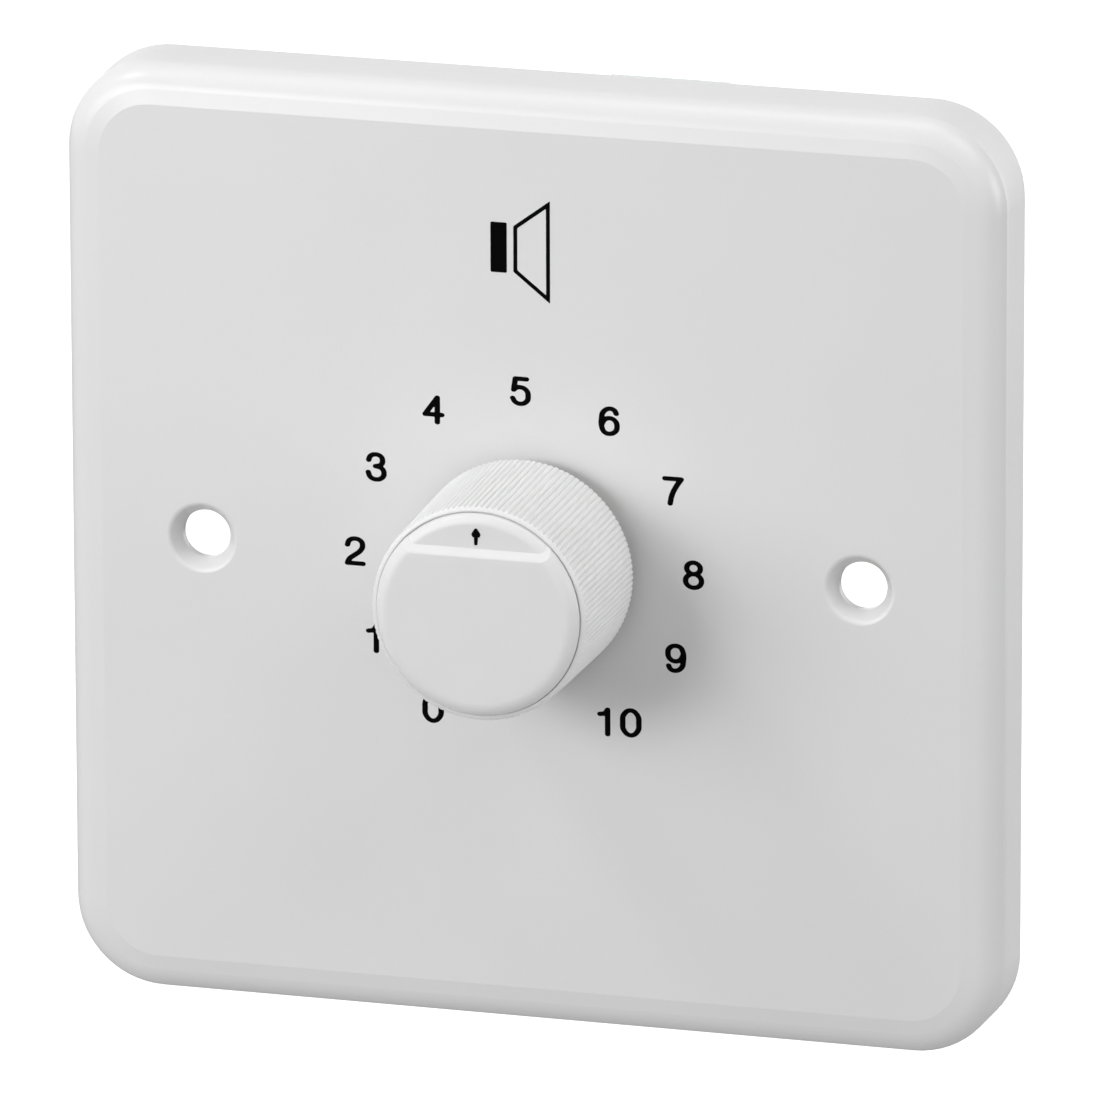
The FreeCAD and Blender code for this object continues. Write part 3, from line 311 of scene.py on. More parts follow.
def mouldedUrea():
    # moulded urea plate: satin gloss, a trace of flow ripple, a duller band along its side walls
    faceEnds, wallBegins = -5.4, -4.4  # the gloss fades between these depths
    material, tree, shader, place = startMaterial("moulded_urea_plate", "#E6E6E6", 0.3)
    cloud = grain(tree, place, 14.0, 2.0)
    speck = grain(tree, place, 0.25, 1.0)
    mixed = addNode(tree, "Math", {"operation": "MULTIPLY_ADD", 1: 0.6}, {0: speck, 2: cloud})
    tone = spread(tree, mixed.outputs["Value"], 0.0, 1.0, 0.4, 1.2)
    plug(tree, tint(tree, tone, "#E4E4E4", "#E7E7E7"), shader, "Base Color")
    depth = addNode(tree, "SeparateXYZ", links={"Vector": place}).outputs["Y"]
    wall = addNode(tree, "MapRange", {"From Min": faceEnds, "From Max": wallBegins}, {"Value": depth})
    ripple = spread(tree, grain(tree, place, 6.0, 2.0), 0.28, 0.32, 0.2, 0.8)
    dull = addNode(tree, "Math", {"operation": "MULTIPLY_ADD", 1: 0.22},
                   {0: wall.outputs["Result"], 2: ripple})
    plug(tree, dull.outputs["Value"], shader, "Roughness")
    peel = raiseSurface(tree, shader, grain(tree, place, 1.1, 1.0), 0.002)
    fine = grain(tree, place, 0.16, 2.0)
    worn = addNode(tree, "Math", {"operation": "MULTIPLY"}, {0: fine, 1: wall.outputs["Result"]})
    raiseSurface(tree, shader, worn.outputs["Value"], 0.02, peel)
    return material


def mouldedKnob():
    # moulded ABS: even satin white, slightly softened by the light that enters it
    material, tree, shader, place = startMaterial("moulded_abs_knob", "#E8E8E8", 0.36)
    letLightIn(shader, 0.5, 0.6)
    cloud = spread(tree, grain(tree, place, 6.0, 2.0), 0.0, 1.0, 0.2, 0.8)
    plug(tree, tint(tree, cloud, "#E7E7E7", "#E9E9E9"), shader, "Base Color")
    plug(tree, spread(tree, grain(tree, place, 1.6, 2.0), 0.33, 0.4), shader, "Roughness")
    raiseSurface(tree, shader, grain(tree, place, 0.12, 2.0), 0.006)
    return material


def mouldedCap():
    # moulded ABS cap: the same white with a finely eroded face
    material, tree, shader, place = startMaterial("moulded_abs_cap", "#E6E6E6", 0.4)
    letLightIn(shader, 0.5, 0.6)
    cloud = spread(tree, grain(tree, place, 6.0, 2.0), 0.0, 1.0, 0.2, 0.8)
    plug(tree, tint(tree, cloud, "#E5E5E5", "#E7E7E7"), shader, "Base Color")
    plug(tree, spread(tree, grain(tree, place, 0.8, 2.0), 0.36, 0.46), shader, "Roughness")
    raiseSurface(tree, shader, grain(tree, place, 0.09, 2.0), 0.005)
    return material


plateFinish = mouldedUrea()
dress(plateFinish, "faceplate")
dress(mouldedKnob(), "knob_body")
dress(mouldedCap(), "knob_cap")
print("white mouldings done")


# Printed numbers, sign and pointer

def padPrintInk():
    # black pad-print ink: dense and matt, with the faint grain of the pad
    material, tree, shader, place = startMaterial("pad_print_ink", "#020202", 0.6)
    shader.inputs["Specular IOR Level"].default_value = 0.03
    tone = spread(tree, grain(tree, place, 0.12, 2.0), 0.0, 1.0)
    plug(tree, tint(tree, tone, "#010101", "#040404"), shader, "Base Color")
    plug(tree, spread(tree, grain(tree, place, 0.2, 2.0), 0.4, 0.62), shader, "Roughness")
    raiseSurface(tree, shader, grain(tree, place, 0.06, 2.0), 0.003)
    return material


ink = padPrintInk()

# Centre lines of the numbers, in millimetres from each one's centre: X, Z and "s" for a smooth point or "c"
# for a corner. True closes a line to a loop.
digitLines = {
    "0": [([(0, 1.15, "s"), (0.62, 0.78, "s"), (0.77, 0, "s"), (0.62, -0.78, "s"), (0, -1.15, "s"),
            (-0.62, -0.78, "s"), (-0.77, 0, "s"), (-0.62, 0.78, "s")], True)],
    "1": [([(0.24, 1.13, "c"), (0.24, -1.13, "c")], False),
          ([(0.22, 1.1, "s"), (-0.02, 0.8, "s"), (-0.5, 0.69, "s")], False)],
    "2": [([(-0.74, 0.55, "s"), (-0.52, 0.99, "s"), (0.02, 1.15, "s"), (0.55, 0.97, "s"), (0.72, 0.52, "s"),
            (0.48, 0.05, "s"), (-0.08, -0.38, "s"), (-0.55, -0.74, "s"), (-0.74, -1.13, "c"),
            (0.76, -1.13, "c")], False)],
    "3": [([(-0.72, 0.6, "s"), (-0.52, 0.99, "s"), (-0.02, 1.15, "s"), (0.46, 0.98, "s"), (0.62, 0.6, "s"),
            (0.45, 0.22, "s"), (-0.06, 0.06, "c")], False),
          ([(-0.06, 0.06, "c"), (0.5, -0.08, "s"), (0.75, -0.53, "s"), (0.54, -0.98, "s"), (0, -1.15, "s"),
            (-0.54, -0.97, "s"), (-0.76, -0.52, "s")], False)],
    "4": [([(0.37, -1.13, "c"), (0.37, 1.12, "c"), (-0.8, -0.44, "c"), (0.8, -0.44, "c")], False)],
    "5": [([(0.58, 1.13, "c"), (-0.48, 1.13, "c"), (-0.64, 0.1, "c"), (-0.42, 0.28, "s"), (0.02, 0.36, "s"),
            (0.55, 0.14, "s"), (0.74, -0.4, "s"), (0.53, -0.96, "s"), (-0.02, -1.15, "s"), (-0.5, -1.0, "s"),
            (-0.74, -0.66, "s")], False)],
    "6": [([(0.68, 0.72, "s"), (0.5, 1.02, "s"), (0.08, 1.15, "s"), (-0.48, 0.9, "s"), (-0.73, 0.1, "s"),
            (-0.68, -0.62, "s"), (-0.42, -1.03, "s"), (0.02, -1.15, "s"), (0.56, -0.94, "s"),
            (0.75, -0.42, "s"), (0.55, 0.08, "s"), (0.06, 0.28, "s"), (-0.42, 0.12, "s"),
            (-0.68, -0.28, "s")], False)],
    "7": [([(-0.78, 1.13, "c"), (0.77, 1.13, "c"), (0.3, 0.46, "s"), (-0.1, -0.34, "s"), (-0.28, -1.13, "s")],
           False)],
    "8": [([(0, 1.15, "s"), (0.65, 0.62, "s"), (0, 0.1, "s"), (-0.65, 0.62, "s")], True),
          ([(0, 0.1, "s"), (0.76, -0.53, "s"), (0, -1.15, "s"), (-0.76, -0.53, "s")], True)],
}
digitLines["9"] = [([(-x, -z, kind) for x, z, kind in points], loop) for points, loop in digitLines["6"]]

printLook = {
    "level": -7.5,  # the plate's face
    "stroke": 0.55,
    "thinning": 0.77,  # level strokes against upright ones
    "narrowing": 0.96,
    "film": 0.014,
    "voxel": 0.05,
    "ballLevel": 3,
}

# Where each number stands on the plate, X and Z in millimetres
numberPlaces = [
    ("0", -8.88, -14.1), ("1", -14.32, -8.08), ("2", -16.0, -0.13), ("3", -14.01, 7.78), ("4", -8.71, 13.45),
    ("5", -0.73, 15.75), ("6", 7.37, 13.63), ("7", 13.2, 7.68), ("8", 15.06, 0.13), ("9", 13.44, -7.64),
    ("1", 6.96, -14.03), ("0", 9.31, -13.94),
]


def splitAtCorners(lines):
    # a stroke keeps its full width at a corner only where two runs meet there
    runs = []
    for points, loop in lines:
        run = []
        for point in points:
            run.append(point)
            if point[2] == "c" and len(run) > 1:
                runs.append((run, False))
                run = [point]
        if len(run) > 1:
            runs.append((run, loop))
    return runs


# How finely a brush stroke is divided, round its section and along each curve
brush = {"bevelSteps": 4, "curveSteps": 8}


def strokeMesh(lines, width, ballLevel):
    # round brush strokes in the XZ plane, with a ball at every end and corner
    curve = bpy.data.curves.new("strokes", "CURVE")
    curve.dimensions = "3D"
    curve.bevel_depth = width / 2
    curve.bevel_resolution = brush["bevelSteps"]
    curve.resolution_u = brush["curveSteps"]
    curve.use_fill_caps = True
    for points, loop in splitAtCorners(lines):
        spline = curve.splines.new("BEZIER")
        spline.bezier_points.add(len(points) - 1)
        spline.use_cyclic_u = loop
        for knot, (x, z, kind) in zip(spline.bezier_points, points):
            knot.co = (x, 0, z)
            knot.handle_left_type = knot.handle_right_type = "AUTO" if kind == "s" else "VECTOR"
    holder = bpy.data.objects.new("strokes", curve)
    scene.collection.objects.link(holder)
    bpy.context.view_layer.update()
    mesh = bpy.data.meshes.new_from_object(holder.evaluated_get(bpy.context.evaluated_depsgraph_get()))
    bpy.data.objects.remove(holder)
    shape = bmesh.new()
    shape.from_mesh(mesh)
    for points, loop in lines:
        spots = [(x, z) for x, z, kind in points if kind == "c"]
        if not loop:
            spots += [points[0][:2], points[-1][:2]]
        for x, z in set(spots):
            bmesh.ops.create_icosphere(shape, subdivisions=ballLevel, radius=width / 2,
                                       matrix=Matrix.Translation((x, 0, z)))
    shape.to_mesh(mesh)
    shape.free()
    return mesh


def inkFilm(digit, look):
    # strokes melted into one skin and pressed flat, rounded at its edges; they are drawn taller and pressed
    # down again, so that level strokes come out thinner than upright ones
    tall = [([(x, z / look["thinning"], kind) for x, z, kind in points], loop)
            for points, loop in digitLines[digit]]
    strokes = strokeMesh(tall, look["stroke"], look["ballLevel"])
    skin = bakeModifiers(strokes, [("REMESH", {"mode": "VOXEL", "voxel_size": look["voxel"],
                                               "use_smooth_shade": True})])
    skin.transform(Matrix.Diagonal((1, look["film"] / (look["stroke"] / 2), 1, 1)))
    skin.transform(Matrix.Diagonal((look["narrowing"], 1, look["thinning"], 1)))
    return skin


def printedNumbers(look):
    shape = bmesh.new()
    films = {digit: inkFilm(digit, look) for digit in digitLines}
    for digit, x, z in numberPlaces:
        copy = films[digit].copy()
        copy.transform(Matrix.Translation((x, look["level"], z)))
        shape.from_mesh(copy)
    mesh = meshInMetres(shape, "numbers")
    shadeSmooth(mesh)
    return makePiece("printed_numbers", mesh, ink, "plate_assembly")


signLook = {
    "bar": [(-3.42, 26.46), (-3.42, 31.03), (-1.93, 31.03), (-1.93, 26.46)],
    "horn": [(-1.33, 26.6), (-1.33, 30.76), (2.01, 33.26), (2.01, 23.93)],
    "line": 0.36,
    "barCorner": 0.13,
    "hornCorner": 0.09,
    "film": 0.012,
    "sunk": 0.006,
}
cornerSteps = 3  # edges in each rounded corner of a print


def flatFace(shape, corners, level, rounding=0.0):
    # a flat shape in the XZ plane that faces the room, with rounded corners
    face = shape.faces.new([shape.verts.new((x, level, z)) for x, z in corners])
    face.normal_update()
    if face.normal.y > 0:
        face.normal_flip()
    if rounding:
        bmesh.ops.bevel(shape, geom=list(face.verts), offset=rounding, segments=cornerSteps, profile=0.5,
                        affect="VERTICES", material=-1)
    return face


def insetCorners(corners, width):
    # the same outline drawn a line's width further in
    shape = bmesh.new()
    face = flatFace(shape, corners, 0)
    bmesh.ops.inset_region(shape, faces=[face], thickness=width, use_boundary=True, use_even_offset=True)
    inner = [(v.co.x, v.co.z) for v in face.verts]
    shape.free()
    return inner


def pressFilm(shape, name, look, body):
    # gives a flat print its thickness, sunk a little into the surface, and makes it a piece
    raised = bmesh.ops.extrude_face_region(shape, geom=list(shape.faces))
    moved = [v for v in raised["geom"] if isinstance(v, bmesh.types.BMVert)]
    bmesh.ops.translate(shape, verts=moved, vec=(0, look["film"] + look["sunk"], 0))
    bmesh.ops.recalc_face_normals(shape, faces=shape.faces)
    return makePiece(name, meshInMetres(shape, name), ink, body)


def printedSign(look, level):
    # a plain loudspeaker: a solid bar and the outline of a horn
    shape = bmesh.new()
    face = level - look["film"]
    for corners in (look["horn"], insetCorners(look["horn"], look["line"])):
        flatFace(shape, corners, face, look["hornCorner"])
    bmesh.ops.delete(shape, geom=list(shape.faces), context="FACES_ONLY")
    bmesh.ops.bridge_loops(shape, edges=list(shape.edges))
    flatFace(shape, look["bar"], face, look["barCorner"])
    return pressFilm(shape, "printed_sign", look, "plate_assembly")


pointerLook = {
    "level": -23.9,  # the cap's lowered segment
    "head": [(-0.13, 7.93), (0.04, 7.93), (0.38, 7.4), (0.28, 7.1), (-0.37, 7.1), (-0.47, 7.4)],
    "headCorner": 0.1,
    "stem": [(-0.24, 7.25), (0.16, 7.25), (0.08, 6.38), (-0.2, 6.38)],
    "stemCorner": 0.1,
    "film": 0.012,
    "stemShare": 0.8,
    "sunk": 0.006,
}


def printedPointer(look):
    # a short arrow on the lowered segment of the cap; its stem is thinner, so the two don't share a face
    shape = bmesh.new()
    flatFace(shape, look["head"], look["level"] - look["film"], look["headCorner"])
    flatFace(shape, look["stem"], look["level"] - look["film"] * look["stemShare"], look["stemCorner"])
    return pressFilm(shape, "printed_pointer", look, "knob_assembly")


printedNumbers(printLook)
printedSign(signLook, printLook["level"])
printedPointer(pointerLook)
print("numbers, sign and pointer done")


# Metals

def turnedBrass():
    # free-cutting brass, turned: warm yellow with fine rings left by the tool
    material, tree, shader, place = startMaterial("turned_brass", "#C8A55A", 0.24, 1.0)
    rings = grain(tree, roundPlace(tree, place), 0.14, 3.0)
    dull = spread(tree, grain(tree, place, 2.5, 3.0), 0.0, 1.0)
    plug(tree, tint(tree, dull, "#B8924A", "#D2B26A"), shader, "Base Color")
    plug(tree, spread(tree, rings, 0.18, 0.34), shader, "Roughness")
    raiseSurface(tree, shader, rings, 0.004)
    return material


def nickelPlate():
    # bright nickel over turned brass: warm grey, rings softened by the plating
    material, tree, shader, place = startMaterial("nickel_plate", "#C9C4B8", 0.2, 1.0)
    rings = grain(tree, roundPlace(tree, place), 0.2, 2.0)
    cloud = spread(tree, grain(tree, place, 3.0, 3.0), 0.0, 1.0)
    plug(tree, tint(tree, cloud, "#BDB7AA", "#D0CCC2"), shader, "Base Color")
    plug(tree, spread(tree, rings, 0.15, 0.27), shader, "Roughness")
    raiseSurface(tree, shader, rings, 0.003)
    return material


def groundSteel():
    # ground and lightly oiled steel: cool grey with close grinding rings
    material, tree, shader, place = startMaterial("ground_steel", "#A6A7A8", 0.2, 1.0)
    rings = grain(tree, roundPlace(tree, place), 0.1, 3.0)
    oil = spread(tree, grain(tree, place, 4.0, 3.0), 0.0, 1.0)
    plug(tree, tint(tree, oil, "#96979A", "#B3B4B4"), shader, "Base Color")
    plug(tree, spread(tree, rings, 0.14, 0.28), shader, "Roughness")
    raiseSurface(tree, shader, rings, 0.002)
    return material


def zincPlate():
    # zinc plate with a clear passivate: pale bluish grey, faintly cloudy
    material, tree, shader, place = startMaterial("zinc_plate", "#C2C6C9", 0.34, 1.0)
    cloud = spread(tree, grain(tree, place, 1.2, 4.0), 0.0, 1.0)
    plug(tree, tint(tree, cloud, "#B0B6BC", "#CECFCB"), shader, "Base Color")
    plug(tree, spread(tree, grain(tree, place, 0.5, 3.0), 0.27, 0.44), shader, "Roughness")
    raiseSurface(tree, shader, grain(tree, place, 0.12, 3.0), 0.006)
    return material


def springSteel():
    # hardened strip and wire: darker, straw-brown where the heat coloured it
    material, tree, shader, place = startMaterial("spring_steel", "#77736C", 0.3, 1.0)
    heat = spread(tree, grain(tree, place, 1.5, 3.0), 0.0, 1.0)
    plug(tree, tint(tree, heat, "#66615C", "#8A8479"), shader, "Base Color")
    plug(tree, spread(tree, grain(tree, place, 0.25, 3.0), 0.24, 0.4), shader, "Roughness")
    raiseSurface(tree, shader, grain(tree, place, 0.1, 2.0), 0.003)
    return material


def phosphorBronze():
    # rolled phosphor bronze strip: pinkish brown with straight rolling marks
    material, tree, shader, place = startMaterial("phosphor_bronze", "#BE8457", 0.27, 1.0)
    marks = grain(tree, place, 0.12, 3.0, stretch=(1, 1, 0.05))
    cloud = spread(tree, grain(tree, place, 2.0, 3.0), 0.0, 1.0)
    plug(tree, tint(tree, cloud, "#AD7247", "#C99368"), shader, "Base Color")
    plug(tree, spread(tree, marks, 0.2, 0.36), shader, "Roughness")
    raiseSurface(tree, shader, marks, 0.003)
    return material


def silverContact():
    # fine silver rivets: near white, faintly yellow where they tarnish
    material, tree, shader, place = startMaterial("silver_contact", "#DEDCD4", 0.22, 1.0)
    tarnish = spread(tree, grain(tree, place, 0.8, 3.0), 0.0, 1.0)
    plug(tree, tint(tree, tarnish, "#CFC6AC", "#E4E3E0"), shader, "Base Color")
    plug(tree, spread(tree, grain(tree, place, 0.2, 3.0), 0.16, 0.32), shader, "Roughness")
    raiseSurface(tree, shader, grain(tree, place, 0.1, 2.0), 0.002)
    return material


def tinnedBrass():
    # tin-plated brass stampings: soft grey-white with a rolled grain
    material, tree, shader, place = startMaterial("tinned_brass", "#CFCCC3", 0.3, 1.0)
    rolled = grain(tree, place, 0.16, 3.0, stretch=(0.08, 1, 1))
    cloud = spread(tree, grain(tree, place, 1.4, 3.0), 0.0, 1.0)
    plug(tree, tint(tree, cloud, "#C0BCAF", "#D8D6D0"), shader, "Base Color")
    plug(tree, spread(tree, rolled, 0.23, 0.4), shader, "Roughness")
    raiseSurface(tree, shader, rolled, 0.005)
    return material


def laminatedSteel(name, dark, light):
    # stack of thin silicon-steel sheets: grey-blue skin, every sheet a little different in tone
    sheetThickness = 0.5
    material, tree, shader, place = startMaterial(name, light, 0.42, 0.85)
    across = addNode(tree, "SeparateXYZ", links={"Vector": place}).outputs["X"]
    count = addNode(tree, "Math", {"operation": "DIVIDE", 1: sheetThickness}, {0: across})
    sheet = addNode(tree, "Math", {"operation": "ROUND"}, {0: count.outputs["Value"]})
    own = addNode(tree, "TexWhiteNoise", {"noise_dimensions": "1D"}, {"W": sheet.outputs["Value"]})
    blotch = grain(tree, place, 3.5, 4.0)
    both = addNode(tree, "Math", {"operation": "MULTIPLY_ADD", 1: 0.45}, {0: own.outputs["Value"], 2: blotch})
    tone = spread(tree, both.outputs["Value"], 0.0, 1.0, 0.4, 1.0)
    plug(tree, tint(tree, tone, dark, light), shader, "Base Color")
    plug(tree, spread(tree, grain(tree, place, 0.3, 3.0), 0.34, 0.52), shader, "Roughness")
    raiseSurface(tree, shader, grain(tree, place, 0.2, 3.0), 0.012)
    return material


def galvanisedBand():
    # galvanised strip: flat grey crystals a few millimetres wide that take the light differently
    material, tree, shader, place = startMaterial("galvanised_band", "#B4B8BB", 0.36, 0.95)
    sized = addNode(tree, "Mapping", {"Scale": (0.3, 0.3, 0.3)}, {"Vector": place})
    crystal = addNode(tree, "TexVoronoi", {"Scale": 1.0}, {"Vector": sized.outputs["Vector"]})
    tone = addNode(tree, "SeparateXYZ", links={"Vector": crystal.outputs["Color"]}).outputs["X"]
    plug(tree, tint(tree, tone, "#A3A9AE", "#C3C6C7"), shader, "Base Color")
    plug(tree, spread(tree, tone, 0.28, 0.46, 0.0, 1.0), shader, "Roughness")
    raiseSurface(tree, shader, grain(tree, place, 0.25, 3.0), 0.01)
    return material


def tinnedPin():
    # hot-dipped tin on square-drawn wire: bright and slightly wavy
    material, tree, shader, place = startMaterial("tinned_pin", "#D5D5D2", 0.2, 1.0)
    wave = grain(tree, place, 0.35, 2.0)
    plug(tree, tint(tree, spread(tree, wave, 0.0, 1.0), "#C8C8C4", "#DEDEDC"), shader, "Base Color")
    plug(tree, spread(tree, wave, 0.14, 0.28), shader, "Roughness")
    raiseSurface(tree, shader, wave, 0.012)
    return material


def solderAlloy():
    # tin solder: bright satin fillets with a frosty patch where each one set last
    material, tree, shader, place = startMaterial("solder_alloy", "#D0D0CE", 0.2, 1.0)
    frost = spread(tree, grain(tree, place, 0.5, 3.0), 0.0, 1.0)
    plug(tree, tint(tree, frost, "#C2C3C2", "#DADAD9"), shader, "Base Color")
    plug(tree, spread(tree, frost, 0.14, 0.34, 0.0, 1.0), shader, "Roughness")
    raiseSurface(tree, shader, grain(tree, place, 0.2, 2.0), 0.01)
    return material


def enamelledCopper():
    # enamelled copper wire: red-brown metal under a clear glossy varnish
    material, tree, shader, place = startMaterial("enamelled_copper", "#A85A32", 0.3, 1.0)
    shader.inputs["Coat Weight"].default_value = 0.8
    shader.inputs["Coat Roughness"].default_value = 0.08
    cloud = spread(tree, grain(tree, place, 1.2, 2.0), 0.0, 1.0)
    plug(tree, tint(tree, cloud, "#8E4726", "#B9683C"), shader, "Base Color")
    plug(tree, spread(tree, grain(tree, place, 0.3, 2.0), 0.24, 0.38), shader, "Roughness")
    raiseSurface(tree, shader, grain(tree, place, 0.3, 1.0), 0.006)
    return material


dress(turnedBrass(), "knob_insert", "knob_collet", "collet_nut")
dress(nickelPlate(), "bushing", "bushing_nut")
dress(groundSteel(), "spindle", "detent_balls")
dress(zincPlate(), "stop_ring", "board_screws", *(f"clamp_screw_{number}" for number in range(1, 5)))
dress(springSteel(), "spindle_clip", "lock_washer", "detent_springs")
dress(phosphorBronze(), "wiper")
dress(silverContact(), "fixed_contacts", "common_contact")
dress(tinnedBrass(), "terminal_bars", *(f"clamp_cage_{number}" for number in range(1, 5)))
dress(laminatedSteel("silicon_steel_e", "#4B5058", "#7A8088"), "core_e_plates")
dress(laminatedSteel("silicon_steel_i", "#50555C", "#858A90"), "core_i_plates")
dress(galvanisedBand(), "core_clamp")
dress(tinnedPin(), "bobbin_pins")
dress(enamelledCopper(), "winding", "winding_leads")
print("metals done")


# Plastics, laminates and tape behind the plate

def filledBlack():
    # glass-filled polyester moulding: black, satin, with the flow of the fibres showing faintly
    material, tree, shader, place = startMaterial("glass_filled_black", "#191A1C", 0.45)
    flow = grain(tree, place, 0.5, 4.0, stretch=(1, 0.25, 1))
    plug(tree, tint(tree, spread(tree, flow, 0.0, 1.0), "#141517", "#222326"), shader, "Base Color")
    plug(tree, spread(tree, flow, 0.36, 0.58), shader, "Roughness")
    raiseSurface(tree, shader, flow, 0.012)
    return material


def paperLaminate():
    # phenolic paper laminate: brown, glossy faces, with its paper layers showing at the edge
    material, tree, shader, place = startMaterial("phenolic_paper_laminate", "#9A6B3A", 0.32)
    fibre = spread(tree, grain(tree, place, 0.9, 5.0, stretch=(1, 1, 0.5)), 0.0, 1.0)
    layers = grain(tree, place, 0.22, 2.0, stretch=(0.05, 1, 0.05))
    both = addNode(tree, "Math", {"operation": "MULTIPLY_ADD", 1: 0.35},
                   {0: spread(tree, layers, 0.0, 1.0), 2: fibre})
    tone = spread(tree, both.outputs["Value"], 0.0, 1.0, 0.0, 1.35)
    plug(tree, tint(tree, tone, "#7F5429", "#AE7E48"), shader, "Base Color")
    plug(tree, spread(tree, fibre, 0.26, 0.4, 0.0, 1.0), shader, "Roughness")
    raiseSurface(tree, shader, layers, 0.006)
    return material


def whiteAcetal():
    # moulded acetal: slightly waxy white that lets a little light in
    material, tree, shader, place = startMaterial("moulded_acetal", "#E6E4DC", 0.34)
    letLightIn(shader, 0.2, 0.6)
    cloud = spread(tree, grain(tree, place, 2.0, 3.0), 0.0, 1.0)
    plug(tree, tint(tree, cloud, "#E0DED5", "#EBE9E2"), shader, "Base Color")
    plug(tree, spread(tree, grain(tree, place, 0.6, 2.0), 0.3, 0.42), shader, "Roughness")
    raiseSurface(tree, shader, grain(tree, place, 0.3, 2.0), 0.006)
    return material


def solderMask():
    # glass-epoxy board under green mask: the weave shows through; the sawn edges are bare and yellowish
    material, tree, shader, place = startMaterial("masked_glass_epoxy", "#1F6A3C", 0.28)
    sized = addNode(tree, "Mapping", {"Scale": (0.55, 0.55, 0.55)}, {"Vector": place})
    warp, weft = (addNode(tree, "TexWave", {"wave_type": "BANDS", "bands_direction": way, "Scale": 1.0,
                                            "Distortion": 0.4}, {"Vector": sized.outputs["Vector"]})
                  for way in ("X", "Z"))
    weave = addNode(tree, "Math", {"operation": "MULTIPLY"}, {0: warp.outputs["Fac"], 1: weft.outputs["Fac"]})
    mask = tint(tree, weave.outputs["Value"], "#1B6237", "#257446")
    fibre = spread(tree, grain(tree, place, 0.35, 3.0, stretch=(0.3, 1, 0.3)), 0.0, 1.0)
    sawn = tint(tree, fibre, "#A79F62", "#C9C48C")
    facing = addNode(tree, "SeparateXYZ", links={"Vector": addNode(tree, "TexCoord").outputs["Normal"]})
    level = addNode(tree, "Math", {"operation": "ABSOLUTE"}, {0: facing.outputs["Y"]})
    front = addNode(tree, "Math", {"operation": "GREATER_THAN", 1: 0.5}, {0: level.outputs["Value"]})
    base = addNode(tree, "Mix", {"data_type": "RGBA"}, {0: front.outputs["Value"], 6: sawn, 7: mask})
    plug(tree, base.outputs[2], shader, "Base Color")
    rough = addNode(tree, "MapRange", {"To Min": 0.7, "To Max": 0.26}, {"Value": front.outputs["Value"]})
    plug(tree, rough.outputs["Result"], shader, "Roughness")
    raiseSurface(tree, shader, weave.outputs["Value"], 0.006)
    return material


def maskedCopper():
    # copper track under the green mask: lighter green, smoother than the bare board
    material, tree, shader, place = startMaterial("masked_copper_track", "#2F8350", 0.24)
    cloud = spread(tree, grain(tree, place, 1.0, 2.0), 0.0, 1.0)
    plug(tree, tint(tree, cloud, "#2B7C4B", "#378C58"), shader, "Base Color")
    plug(tree, spread(tree, grain(tree, place, 0.5, 2.0), 0.2, 0.3), shader, "Roughness")
    return material


def legendInk():
    # white screen-printed outline: matt and slightly thin
    material, tree, shader, place = startMaterial("white_legend_ink", "#DADAD2", 0.6)
    thin = spread(tree, grain(tree, place, 0.15, 3.0), 0.0, 1.0)
    plug(tree, tint(tree, thin, "#C3C9BC", "#E4E4DE"), shader, "Base Color")
    return material


def greenPolyamide():
    # moulded polyamide terminal block: clear mid green, satin
    material, tree, shader, place = startMaterial("moulded_polyamide_green", "#3C8F4C", 0.4)
    cloud = spread(tree, grain(tree, place, 2.5, 3.0), 0.0, 1.0)
    plug(tree, tint(tree, cloud, "#378746", "#459955"), shader, "Base Color")
    plug(tree, spread(tree, grain(tree, place, 0.4, 3.0), 0.34, 0.5), shader, "Roughness")
    raiseSurface(tree, shader, grain(tree, place, 0.18, 3.0), 0.012)
    return material


def blackNylon():
    # moulded nylon bobbin: black with a fine eroded mould skin
    material, tree, shader, place = startMaterial("moulded_nylon_black", "#1C1C1F", 0.38)
    skin = grain(tree, place, 0.14, 3.0)
    tone = spread(tree, grain(tree, place, 1.8, 3.0), 0.0, 1.0)
    plug(tree, tint(tree, tone, "#17171A", "#242428"), shader, "Base Color")
    plug(tree, spread(tree, skin, 0.3, 0.48), shader, "Roughness")
    raiseSurface(tree, shader, skin, 0.01)
    return material


def polyesterTape():
    # yellow polyester tape: thin, glossy, ridged by the turns of wire beneath it
    material, tree, shader, place = startMaterial("polyester_tape", "#E3B62C", 0.24)
    shader.inputs["Coat Weight"].default_value = 0.4
    shader.inputs["Coat Roughness"].default_value = 0.1
    thick = spread(tree, grain(tree, place, 3.0, 2.0), 0.0, 1.0)
    plug(tree, tint(tree, thick, "#D5A322", "#EBC547"), shader, "Base Color")
    plug(tree, spread(tree, grain(tree, place, 1.0, 2.0), 0.18, 0.32), shader, "Roughness")
    sized = addNode(tree, "Mapping", {"Scale": (0.35, 0.35, 0.35)}, {"Vector": place})
    turns = addNode(tree, "TexWave", {"wave_type": "BANDS", "bands_direction": "Y", "Scale": 1.0,
                                      "Distortion": 0.6}, {"Vector": sized.outputs["Vector"]})
    ridges = raiseSurface(tree, shader, turns.outputs["Fac"], 0.03)
    raiseSurface(tree, shader, grain(tree, place, 1.6, 2.0), 0.06, ridges)
    return material


trackCopper = maskedCopper()
legendWhite = legendInk()
solder = solderAlloy()
tapeYellow = polyesterTape()
dress(filledBlack(), "switch_housing")
dress(paperLaminate(), "switch_base")
dress(whiteAcetal(), "switch_rotor")
dress(solderMask(), "circuit_board")
dress(greenPolyamide(), "terminal_housing")
dress(blackNylon(), "bobbin")
dress(tapeYellow, "winding_tape")
print("materials behind the plate done")


# Board details: solder joints, raised tracks and the printed outlines

